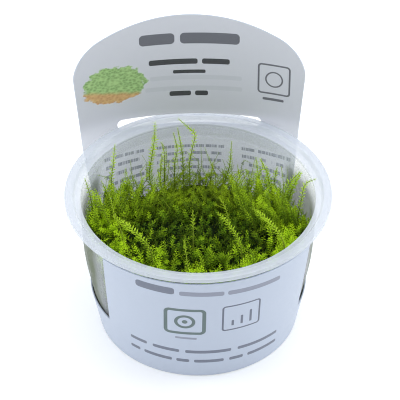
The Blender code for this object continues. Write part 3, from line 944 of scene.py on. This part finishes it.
def moss_level(moss, x, y):
    """Height of the cushion's top at a place in the cup."""
    slope = smooth_step((y - moss.slope_start) / moss.slope_length)
    from_dip = math.hypot(x - moss.dip_x, y - moss.dip_y) / moss.dip_radius
    lump = 1.6 * MM * noise.noise(Vector((x, y, 0.0)) / (7 * MM))
    return moss.front_level - moss.back_drop * slope - moss.dip * math.exp(-from_dip ** 2) + lump


def tangle_place(moss, direction):
    """Where a point of a unit sphere goes on the solid tangle below the loose shoots."""
    cup = bpy.context.scene.moss_cup_shell
    polar = math.acos(max(-1.0, min(1.0, direction.z)))
    turn = math.atan2(direction.y, direction.x)
    floor = cup.recess + cup.floor + 0.3 * MM
    top_polar, wall_polar = math.radians(108), math.radians(142)

    def side(height):
        return wall_radius(height) - cup.wall - moss.side_gap

    rim = side(moss.front_level - moss.back_drop)
    rim_level = moss_level(moss, rim * math.cos(turn), rim * math.sin(turn)) - moss.cover
    if polar < top_polar:
        radius = side(rim_level) * math.sin(polar / 2) / math.sin(top_polar / 2)
        x, y = radius * math.cos(turn), radius * math.sin(turn)
        return Vector((x, y, moss_level(moss, x, y) - moss.cover))
    if polar < wall_polar:
        down = (polar - top_polar) / (wall_polar - top_polar)
        height = rim_level + (floor + 2.5 * MM - rim_level) * down
        radius = side(height)
    else:
        height = floor
        radius = (side(floor) - 1.0 * MM) * (math.pi - polar) / (math.pi - wall_polar)
    return Vector((radius * math.cos(turn), radius * math.sin(turn), height))


def make_tangle(moss, name, cuts=6):
    """A lumpy closed mass made from a round primitive, filling the cup below the loose shoots."""
    deselect()
    bpy.ops.mesh.primitive_ico_sphere_add(subdivisions=cuts, radius=1.0)
    tangle = named(bpy.context.active_object, name)
    for vert in tangle.data.vertices:
        vert.co = tangle_place(moss, vert.co.normalized())
    return tangle


def moss_material(moss, name, young):
    """Moss leaves: young and bright at the tips, dark and brown towards the foot of each stem, partly by
    age and partly as painted shade.
    """
    material, graph, shader = new_material(name)
    reach = graph.add("ShaderNodeAttribute", {"attribute_name": "reach"}, None, "Fac")
    tone = graph.add("ShaderNodeAttribute", {"attribute_name": "tone"}, None, "Fac")
    wood = graph.add("ShaderNodeAttribute", {"attribute_name": "wood"}, None, "Fac")
    place = object_place(graph)
    patch = graph.noise(place, 110.0, 2.0)
    fine = graph.noise(place, 1500.0, 1.0)
    # Light mixes age along the stem and random tone with painted shade and painted light.
    light = reach * 0.6 + tone * 0.9 + (patch - 0.5) * 0.5 + (fine - 0.5) * 0.5 - 0.34
    stops = ((0.0, moss.shaded), (0.45, moss.mature), (0.95, young))
    leaf = graph.add("ShaderNodeValToRGB", {"stops": stops}, {"Fac": light.clamped()}, "Color")
    stem = graph.mix(0.35 * reach, moss.wood, leaf)
    green = graph.mix(wood * 0.9, leaf, stem)
    bump(graph, shader, fine, 0.00005, 0.5)
    # A faint glow in the leaves' own green is painted light shining through them.
    set_shader(
        graph, shader, Base_Color=green, Roughness=0.48 + 0.2 * fine, Specular_IOR_Level=0.15,
        Emission_Color=green, Emission_Strength=0.08,
    )
    return material


def tangle_material(moss):
    """The dense tangle: leaves darkened by painted shade, darkest in painted shade between them, crossed by
    fine stems.
    """
    material, graph, shader = new_material("moss tangle")
    place = object_place(graph)
    warped = graph.vector("ADD", place, graph.noise(place, 300.0, 2.0, "Color"))
    cells = graph.add(
        "ShaderNodeTexVoronoi", {"feature": "DISTANCE_TO_EDGE"}, {"Vector": place, "Scale": 520.0}
    )
    fibres = graph.noise(warped, 900.0, 4.0)
    depth = (fibres * 0.9 + graph.noise(place, 120.0, 2.0) * 0.5 - 0.45 + cells * 0.6).clamped()
    # The ramp runs from painted shade in the crevices through shaded leaves to mature leaves.
    stops = ((0.0, (0.004, 0.010, 0.001)), (0.5, moss.shaded), (1.0, moss.mature))
    green = graph.add("ShaderNodeValToRGB", {"stops": stops}, {"Fac": depth}, "Color")
    bump(graph, shader, depth, 0.0006)
    set_shader(
        graph, shader, Base_Color=green, Roughness=0.55 + 0.3 * fibres, Specular_IOR_Level=0.15
    )
    return material


class MOSSCUP_OT_tangle(Operator):
    """Makes the dark tangle that fills the cup"""

    bl_idname = "moss_cup.make_tangle"
    bl_label = "Make Moss Tangle"

    def execute(self, context):
        moss = context.scene.moss_cup_moss
        tangle = make_tangle(moss, "moss_tangle")
        activate(tangle)
        bpy.ops.object.shade_smooth()
        finish_piece(tangle, tangle_material(moss), "moss_cushion", "moss_cushion")
        return {"FINISHED"}


def make_whorl(moss):
    """Three folded leaves round a stem, from one small grid that is shaped, copied and turned.

    The outline gives, for a leaf's foot, middle and tip, how far out and up it is and how wide.
    """
    deselect()
    bpy.ops.mesh.primitive_grid_add(x_subdivisions=2, y_subdivisions=2, size=2)
    whorl = named(bpy.context.active_object, "leaf_whorl")
    outline = ((0.08, 0.0, 0.0), (0.48, 0.17, 1.0), (1.0, 0.40, 0.0))
    for vert in whorl.data.vertices:
        away, rise, width = outline[round(vert.co.y) + 1]
        side = round(vert.co.x)
        keel = 0.12 * moss.leaf_reach * width * (1 - abs(side))
        vert.co = (
            side * width * moss.leaf_width / 2,
            away * moss.leaf_reach,
            rise * moss.leaf_reach - keel,
        )
    bpy.ops.object.mode_set(mode="EDIT")
    bpy.ops.mesh.select_all(action="SELECT")
    bpy.ops.mesh.remove_doubles(threshold=0.01 * MM)
    for _ in range(2):
        bpy.ops.mesh.duplicate()
        bpy.ops.transform.rotate(
            value=2 * math.pi / 3, orient_axis="Z", orient_type="GLOBAL", center_override=(0, 0, 0)
        )
    leave_edit()
    return whorl


def grow_whorls(graph, rows, whorl, seed, size):
    """A whorl of leaves on each row, turned about the stem, small at the foot and the tip."""
    reach = read(graph, "reach")
    spin = graph.add("GeometryNodeInputIndex") * 0.9 + random_value(graph, 0.0, 0.6, seed)
    about_stem = graph.add("FunctionNodeEulerToRotation", None, {"Euler": graph.combine(0.0, 0.0, spin)})
    sockets = {"Rotation": rows.other("Rotation"), "Rotate By": about_stem}
    turned = graph.add("FunctionNodeRotateRotation", {"rotation_space": "LOCAL"}, sockets)
    swell = graph.step(reach, -0.15, 0.25) * (1 - 0.6 * graph.step(reach, 0.7, 1.05))
    wide = swell * random_value(graph, 0.75, 1.15, seed + 1) * size
    tall = wide * random_value(graph, 0.7, 1.3, seed + 2)
    sockets = {
        "Points": rows, "Instance": object_geometry(graph, whorl), "Rotation": turned,
        "Scale": graph.combine(wide, wide, tall),
    }
    whorls = graph.add("GeometryNodeInstanceOnPoints", None, sockets)
    return graph.add("GeometryNodeRealizeInstances", None, {"Geometry": whorls})


def make_stems(graph, curves, radius):
    """A thin three-sided stem along each curve, slimmer towards its tip."""
    along = graph.add("GeometryNodeSplineParameter", None, None, "Factor")
    ring = graph.add("GeometryNodeCurvePrimitiveCircle", None, {"Resolution": 3, "Radius": radius})
    sockets = {"Curve": curves, "Profile Curve": ring, "Scale": 1.0 - 0.6 * along, "Fill Caps": True}
    return graph.add("GeometryNodeCurveToMesh", None, sockets)


def add_leaves(graph, curves, moss, whorl, seed, size, pitch, stem, bare=0.0):
    """Stems with whorls of leaves along curves. Stores reach, and how woody each part is."""
    along = graph.add("GeometryNodeSplineParameter", None, None, "Factor")
    curves = store(graph, curves, "reach", along)
    sockets = {"Curve": curves, "Length": moss.whorl_pitch * pitch}
    rows = graph.add("GeometryNodeCurveToPoints", {"mode": "LENGTH"}, sockets)
    leaves = grow_whorls(graph, rows, whorl, seed, size)
    stems = make_stems(graph, curves, moss.stem * stem)
    joined = graph.add("GeometryNodeJoinGeometry")
    for part in (store(graph, stems, "wood", 1.0), store(graph, leaves, "wood", bare)):
        graph.tree.links.new(part.socket, joined.node.inputs[0])
    return graph.add("GeometryNodeSetShadeSmooth", None, {"Geometry": joined, "Shade Smooth": False})


def store(graph, geometry, name, value):
    return graph.add(
        "GeometryNodeStoreNamedAttribute", None, {"Geometry": geometry, "Name": name, "Value": value}
    )


def read(graph, name):
    return graph.add("GeometryNodeInputNamedAttribute", None, {"Name": name})


def random_value(graph, low, high, seed):
    return graph.add("FunctionNodeRandomValue", None, {"Min": low, "Max": high, "Seed": seed})


def object_geometry(graph, obj):
    return graph.add("GeometryNodeObjectInfo", None, {"Object": obj}, "Geometry")


def press_inside(graph, geometry):
    """Keeps every point inside the cup's wall below the flange, as leaves pressed on plastic are."""
    cup = bpy.context.scene.moss_cup_shell
    place = graph.add("GeometryNodeInputPosition")
    x, y, z = graph.parts(place)
    radius = (x * x + y * y) ** 0.5
    inset = cup.wall + LEAF_GAP
    low_slope = (cup.knee_radius - cup.foot_radius) / cup.knee_height
    high_slope = (cup.step_radius - cup.knee_radius) / (cup.step_height - cup.knee_height)
    low = z * low_slope + (cup.foot_radius - inset)
    high = z * high_slope + (cup.knee_radius - high_slope * cup.knee_height - inset)
    wall = low.maths("MINIMUM", low, high)
    free = (z > cup.height - cup.ledge_drop) * 1.0
    fit = (wall / radius).maths("MINIMUM", wall / radius, 1.0)
    fit = fit + (1 - fit) * free
    height = z.maths("MAXIMUM", z, cup.recess + cup.floor + 0.1 * MM)
    moved = graph.combine(x * fit, y * fit, height)
    return graph.add("GeometryNodeSetPosition", None, {"Geometry": geometry, "Position": moved})


def geometry_graph(name):
    """An empty modifier tree, its graph and its input geometry."""
    tree = bpy.data.node_groups.new(name, "GeometryNodeTree")
    for side in ("INPUT", "OUTPUT"):
        tree.interface.new_socket("Geometry", in_out=side, socket_type="NodeSocketGeometry")
    graph = Graph(tree)
    return graph, graph.add("NodeGroupInput")


def run_graph(obj, graph, result):
    """Ends the tree, runs it on an object and keeps the mesh that it makes."""
    graph.add("NodeGroupOutput", None, {0: result})
    modifier = obj.modifiers.new(graph.tree.name, "NODES")
    modifier.node_group = graph.tree
    apply_modifiers(obj)
    bpy.data.node_groups.remove(graph.tree)


# Loose shoots on the tangle, layer by layer. Spacing, lengths and bend are in millimetres. Jitter scatters
# their ways, dark and bright bound their tones, leaf, pitch and stem are shares of the moss's own values,
# bare is how woody their leaves look, and where is the zone in which they grow.
Layer = namedtuple(
    "Layer", "name seed spacing shortest longest jitter bend dark bright leaf pitch stem bare where"
)
LAYERS = (
    # The undergrowth's dark tones are painted shade in the gaps under the other layers.
    Layer("moss_undergrowth", 3, 1.7, 2.0, 4.5, 1.4, 1.0, 0.0, 0.25, 0.9, 1.0, 1.0, 0.0, "all"),
    Layer("moss_carpet_1", 11, 2.0, 3.5, 6.5, 1.6, 1.8, 0.3, 0.8, 0.95, 1.0, 1.0, 0.0, "open"),
    Layer("moss_carpet_2", 23, 2.3, 5.0, 8.5, 1.9, 2.5, 0.5, 1.1, 1.0, 1.0, 1.0, 0.0, "open"),
    Layer("moss_rim_tips", 31, 1.7, 5.0, 9.0, 1.2, 1.5, 0.95, 1.35, 1.05, 1.0, 1.0, 0.0, "rim"),
    Layer("moss_plumes", 37, 2.2, 10.0, 19.0, 0.3, 2.0, 0.45, 0.9, 1.1, 1.0, 1.2, 0.2, "plumes"),
    Layer("moss_back_twigs", 41, 1.6, 8.0, 18.0, 0.8, 5.0, 0.5, 0.95, 0.7, 1.4, 1.2, 0.5, "back"),
    Layer("moss_wall_leaves", 53, 2.0, 7.0, 13.0, 0.5, 2.0, 0.4, 0.85, 1.1, 1.0, 1.0, 0.2, "windows"),
)


def painted_middle_shade(graph, moss, x, y):
    """Painted shade: 1 in the dark middle of the cushion, 0 towards the bright rim."""
    across, along = x - moss.shade_middle_x, y - moss.shade_middle_y
    away = (across * across + along * along) ** 0.5 / moss.shade_radius
    return 1 - graph.step(away, 0.45, 1.0)


def growing_zone(graph, where):
    """How much grows at a place of the tangle, from 0 to 1.

    Windows are the tangle's two sides. The other zones are on its top: all of it, open away from the
    back, the rim at the front and sides, plumes in a crescent at the right and left, and the back.
    """
    place = graph.add("GeometryNodeInputPosition")
    up = graph.parts(graph.add("GeometryNodeInputNormal"))[2]
    x, y, z = graph.parts(place)
    radius = (x * x + y * y) ** 0.5
    if where == "windows":
        return (up < 0.45) * graph.step(abs(x), 22 * MM, 27 * MM) * graph.step(z, 12 * MM, 15 * MM)
    top = (up > 0.45) * 1.0
    if where == "open":
        clumps = graph.step(graph.noise(place, 230.0, 1.0), 0.38, 0.52)
        return top * clumps * (1 - 0.85 * graph.step(y, 8 * MM, 24 * MM))
    if where == "rim":
        nearness = graph.step(-y, 6 * MM, 24 * MM) + graph.step(radius, 22 * MM, 32 * MM)
        return top * (nearness * (1 - graph.step(y, 8 * MM, 20 * MM))).clamped()
    if where == "plumes":
        right = graph.step(x, 12 * MM, 20 * MM) * graph.step(y, -10 * MM, 4 * MM)
        left = graph.step(-x, 14 * MM, 22 * MM) * graph.step(y, 0.0, 8 * MM) * 0.7
        return top * (right + left) * (1 - 0.6 * graph.step(y, 20 * MM, 30 * MM))
    if where == "back":
        return top * graph.step(y, 6 * MM, 18 * MM)
    return top


def growing_way(graph, where, jitter, seed):
    """The direction that a loose shoot sets out in."""
    x, y, z = graph.parts(graph.add("GeometryNodeInputPosition"))
    scatter = random_vector(graph, jitter, seed)
    if where == "windows":
        lean = graph.combine(x * 16.0, y * 16.0, 1.5)
    elif where == "rim":
        lean = graph.combine(x * 8.0, y * 8.0, 1.0)
    else:
        lean = graph.combine(x * -6.0, y * -6.0, 1.0)
    return graph.vector("ADD", lean, scatter)


def random_vector(graph, size, seed):
    settings = {"data_type": "FLOAT_VECTOR"}
    sockets = {"Min": (-size,) * 3, "Max": (size,) * 3, "Seed": seed}
    return graph.add("FunctionNodeRandomValue", settings, sockets)


def scatter_feet(graph, surface, moss, layer):
    """Where a layer's shoots stand on the tangle, each with a tone for its leaves: random, with painted
    shade in the cushion's middle.
    """
    spacing = layer.spacing * MM
    sockets = {
        "Mesh": surface, "Distance Min": spacing, "Density Max": 1.6 / spacing ** 2,
        "Density Factor": growing_zone(graph, layer.where), "Seed": layer.seed,
    }
    feet = graph.add("GeometryNodeDistributePointsOnFaces", {"distribute_method": "POISSON"}, sockets)
    x, y, _ = graph.parts(graph.add("GeometryNodeInputPosition"))
    # Painted shade darkens the tones towards the cushion's middle.
    light = 1 - 0.5 * painted_middle_shade(graph, moss, x, y)
    tone = random_value(graph, layer.dark, layer.bright, layer.seed + 1) * light
    return store(graph, feet, "tone", tone)


def straight_shoots(graph, feet, layer):
    """A straight line on each foot, in its layer's length and way."""
    way = growing_way(graph, layer.where, layer.jitter, layer.seed + 2)
    turn = graph.add("FunctionNodeAlignRotationToVector", {"axis": "Z"}, {"Vector": way})
    line = graph.add("GeometryNodeCurvePrimitiveLine", None, {"Start": (0, 0, 0), "End": (0, 0, 1)})
    line = graph.add("GeometryNodeResampleCurve", None, {"Curve": line, "Count": 7})
    size = random_value(graph, layer.shortest * MM, layer.longest * MM, layer.seed + 3)
    sockets = {"Points": feet, "Instance": line, "Rotation": turn, "Scale": graph.combine(size, size, size)}
    lines = graph.add("GeometryNodeInstanceOnPoints", None, sockets)
    return graph.add("GeometryNodeRealizeInstances", None, {"Geometry": lines})


def sway(graph, curves, bend):
    """Bends shoots by a slow drift that grows from foot to tip."""
    along = graph.add("GeometryNodeSplineParameter", None, None, "Factor")
    drift = graph.noise(graph.add("GeometryNodeInputPosition"), 130.0, 1.0, "Color")
    offset = graph.vector("SCALE", graph.vector("SUBTRACT", drift, (0.5, 0.5, 0.42)))
    graph.feed(offset.node.inputs["Scale"], along ** 1.6 * (bend * 4 * MM))
    return graph.add("GeometryNodeSetPosition", None, {"Geometry": curves, "Offset": offset})


def grow_layer(moss, whorl, layer, material):
    """One layer of loose leafy shoots, scattered over the tangle and realized as one mesh."""
    ground = make_tangle(moss, layer.name, cuts=5)
    graph, surface = geometry_graph(layer.name)
    feet = scatter_feet(graph, surface, moss, layer)
    curves = sway(graph, straight_shoots(graph, feet, layer), layer.bend)
    leafy = add_leaves(
        graph, curves, moss, whorl, layer.seed + 5, layer.leaf, layer.pitch, layer.stem, layer.bare
    )
    run_graph(ground, graph, press_inside(graph, leafy))
    finish_piece(ground, material, "moss_cushion")


class MOSSCUP_OT_carpet(Operator):
    """Grows the loose leafy shoots over the tangle"""

    bl_idname = "moss_cup.grow_carpet"
    bl_label = "Grow Moss Carpet"

    def execute(self, context):
        moss = context.scene.moss_cup_moss
        whorl = make_whorl(moss)
        material = moss_material(moss, "moss leaves", moss.young)
        for layer in LAYERS:
            grow_layer(moss, whorl, layer, material)
        remove(whorl)
        return {"FINISHED"}


def shoot_route(moss, foot, places):
    """A shoot's places from its foot, hidden among the loose shoots, to its tip."""
    x, y = foot[0] * MM, foot[1] * MM
    height = moss_level(moss, x, y) - moss.cover + 1.0 * MM
    return [Vector((x, y, height))] + [Vector(place) * MM for place in places]


def grow_shoot(moss, whorl, material, number, route):
    """One long leafy shoot. The first ones stand for the CAD's shoots, number by number."""
    shoot = draw_path(f"leafy_shoot_{number:02d}", route)
    graph, line = geometry_graph(shoot.name)
    curve = graph.add("GeometryNodeMeshToCurve", None, {"Mesh": line})
    smooth = {"spline_type": "CATMULL_ROM"}
    curve = graph.add("GeometryNodeCurveSplineType", smooth, {"Curve": curve})
    sockets = {"Curve": curve, "Length": 0.9 * MM}
    curve = graph.add("GeometryNodeResampleCurve", {"mode": "LENGTH"}, sockets)
    # Shoots in full light get a higher tone, which is painted light.
    own_tone_and_light = 1.2 if number in BRIGHT_SHOOTS else 0.9
    curve = store(graph, curve, "tone", own_tone_and_light + 0.3 * noise.noise(Vector((number * 1.7, 0, 0))))
    size = FULL_SHOOTS.get(number, 1.0)
    pitch = 0.95 if size > 1.25 else 1.3
    leafy = add_leaves(graph, curve, moss, whorl, 100 + number, size, pitch, 1.9)
    run_graph(shoot, graph, press_inside(graph, leafy))
    stand_in = [f"moss_shoot_{number:02d}"] if number <= len(SHOOTS) else []
    finish_piece(shoot, material, "moss_shoots", *stand_in)


class MOSSCUP_OT_shoots(Operator):
    """Grows each long shoot along its own route"""

    bl_idname = "moss_cup.grow_shoots"
    bl_label = "Grow Long Shoots"

    def execute(self, context):
        moss = context.scene.moss_cup_moss
        whorl = make_whorl(moss)
        material = moss_material(moss, "tender moss leaves", moss.tender)
        for number, (foot, *places) in enumerate(SHOOTS + LOOSE_SHOOTS, start=1):
            grow_shoot(moss, whorl, material, number, shoot_route(moss, foot, places))
        remove(whorl)
        return {"FINISHED"}


class MossCupStage(PropertyGroup):
    """Camera, light and floor."""

    elevation: angle("Elevation", "Height of the view above the horizon", 39.4)
    azimuth: angle("Azimuth", "Turn of the view about the upright", -4.4)
    distance: length("Distance", "Camera to the object's middle", 650.0)
    target_x: length("Target X", "What the camera looks at", 0.648)
    target_y: length("Target Y", "What the camera looks at", -0.05)
    target_z: length("Target Z", "What the camera looks at", 51.3)
    lens: FloatProperty(name="Lens", description="Focal length in millimetres", default=164.2)
    sky: FloatProperty(name="Sky", description="Strength of the even light", default=0.74)
    key: FloatProperty(name="Key", description="Power of the overhead light", default=4.0, unit="POWER")
    left: FloatProperty(name="Left", description="Power of the left light", default=2.6, unit="POWER")
    right: FloatProperty(name="Right", description="Power of the right light", default=2.8, unit="POWER")
    glow: FloatProperty(name="Glow", description="Light that the floor gives off", default=0.22)
    paper: colour("Floor", "Pale floor", (0.93, 0.935, 0.94))


def floor_material(stage):
    material, graph, shader = new_material("studio floor")
    grain = graph.noise(object_place(graph), 40.0, 2.0)
    paper = graph.mix(grain * 0.2, stage.paper, (0.88, 0.885, 0.89))
    set_shader(
        graph, shader, Base_Color=paper, Roughness=0.6 + 0.2 * grain, Emission_Color=paper,
        Emission_Strength=stage.glow,
    )
    return material


def soft_light(name, place, width, tint, power):
    """A round area light that shines on the cup."""
    deselect()
    bpy.ops.object.light_add(type="AREA", location=place)
    lamp = bpy.context.active_object
    lamp.name = name
    lamp.data.shape = "DISK"
    lamp.data.size = width
    lamp.data.energy = power
    lamp.data.color = tint
    lamp.rotation_euler = (LIT_PLACE - Vector(place)).to_track_quat("-Z", "Y").to_euler()


def make_floor(stage):
    """A pale floor far wider than the picture."""
    deselect()
    bpy.ops.mesh.primitive_plane_add(size=FLOOR_WIDTH)
    floor = named(bpy.context.active_object, "studio_floor")
    edit(floor)
    bpy.ops.mesh.subdivide(number_cuts=3)
    leave_edit()
    floor.data.materials.append(floor_material(stage))


def make_sky(scene, stage):
    """Even light from all round."""
    world = bpy.data.worlds.new("even light")
    world.use_nodes = True
    sky = world.node_tree.nodes["Background"]
    sky.inputs["Color"].default_value = SKY_COLOUR
    sky.inputs["Strength"].default_value = stage.sky
    scene.world = world


def make_camera(scene, stage):
    """The photograph's view."""
    bpy.ops.object.camera_add()
    camera = bpy.context.active_object
    target = Vector((stage.target_x, stage.target_y, stage.target_z))
    flat = math.cos(stage.elevation)
    back = Vector((
        math.sin(stage.azimuth) * flat, -math.cos(stage.azimuth) * flat, math.sin(stage.elevation)
    ))
    camera.location = target + back * stage.distance
    camera.rotation_euler = (-back).to_track_quat("-Z", "Y").to_euler()
    camera.data.lens = stage.lens
    camera.data.sensor_width = 36.0
    camera.data.clip_start = 0.01
    scene.camera = camera


class MOSSCUP_OT_stage(Operator):
    """Sets the floor, the soft lights and the camera"""

    bl_idname = "moss_cup.make_stage"
    bl_label = "Make Stage"

    def execute(self, context):
        scene = context.scene
        stage = scene.moss_cup_stage
        make_floor(stage)
        for name, place, width, tint, power in LIGHTS:
            soft_light(name, place, width, tint, getattr(stage, power))
        make_sky(scene, stage)
        make_camera(scene, stage)
        scene.view_settings.view_transform = "Standard"
        scene.cycles.filter_width = 1.1
        scene.cycles.denoising_prefilter = "FAST"
        return {"FINISHED"}


class MOSSCUP_PT_panel(Panel):
    """Lists the cup's operators and its main values"""

    bl_label = "Moss Culture Cup"
    bl_idname = "MOSSCUP_PT_panel"
    bl_space_type = "VIEW_3D"
    bl_region_type = "UI"
    bl_category = "Moss Cup"

    def draw(self, context):
        for operator in OPERATORS:
            self.layout.operator(operator.bl_idname)
        for group in GROUPS:
            settings = getattr(context.scene, group)
            box = self.layout.box()
            for name in settings.__annotations__:
                box.prop(settings, name)


GROUPS = {
    "moss_cup_shell": MossCupShell,
    "moss_cup_sleeve": MossCupSleeve,
    "moss_cup_moss": MossCupMoss,
    "moss_cup_stage": MossCupStage,
}
OPERATORS = (
    MOSSCUP_OT_stage, MOSSCUP_OT_cup, MOSSCUP_OT_sleeve, MOSSCUP_OT_tangle, MOSSCUP_OT_carpet,
    MOSSCUP_OT_shoots,
)


def register():
    for group in GROUPS.values():
        bpy.utils.register_class(group)
    for operator in OPERATORS:
        bpy.utils.register_class(operator)
    bpy.utils.register_class(MOSSCUP_PT_panel)
    for name, group in GROUPS.items():
        setattr(bpy.types.Scene, name, PointerProperty(type=group))


def unregister():
    for name in GROUPS:
        delattr(bpy.types.Scene, name)
    for listed in (MOSSCUP_PT_panel, *OPERATORS, *GROUPS.values()):
        bpy.utils.unregister_class(listed)


def main():
    register()
    deselect()
    bpy.ops.moss_cup.make_stage()
    bpy.ops.moss_cup.make_cup()
    bpy.ops.moss_cup.make_sleeve()
    bpy.ops.moss_cup.make_tangle()
    bpy.ops.moss_cup.grow_carpet()
    bpy.ops.moss_cup.grow_shoots()


if __name__ == "__main__":
    main()
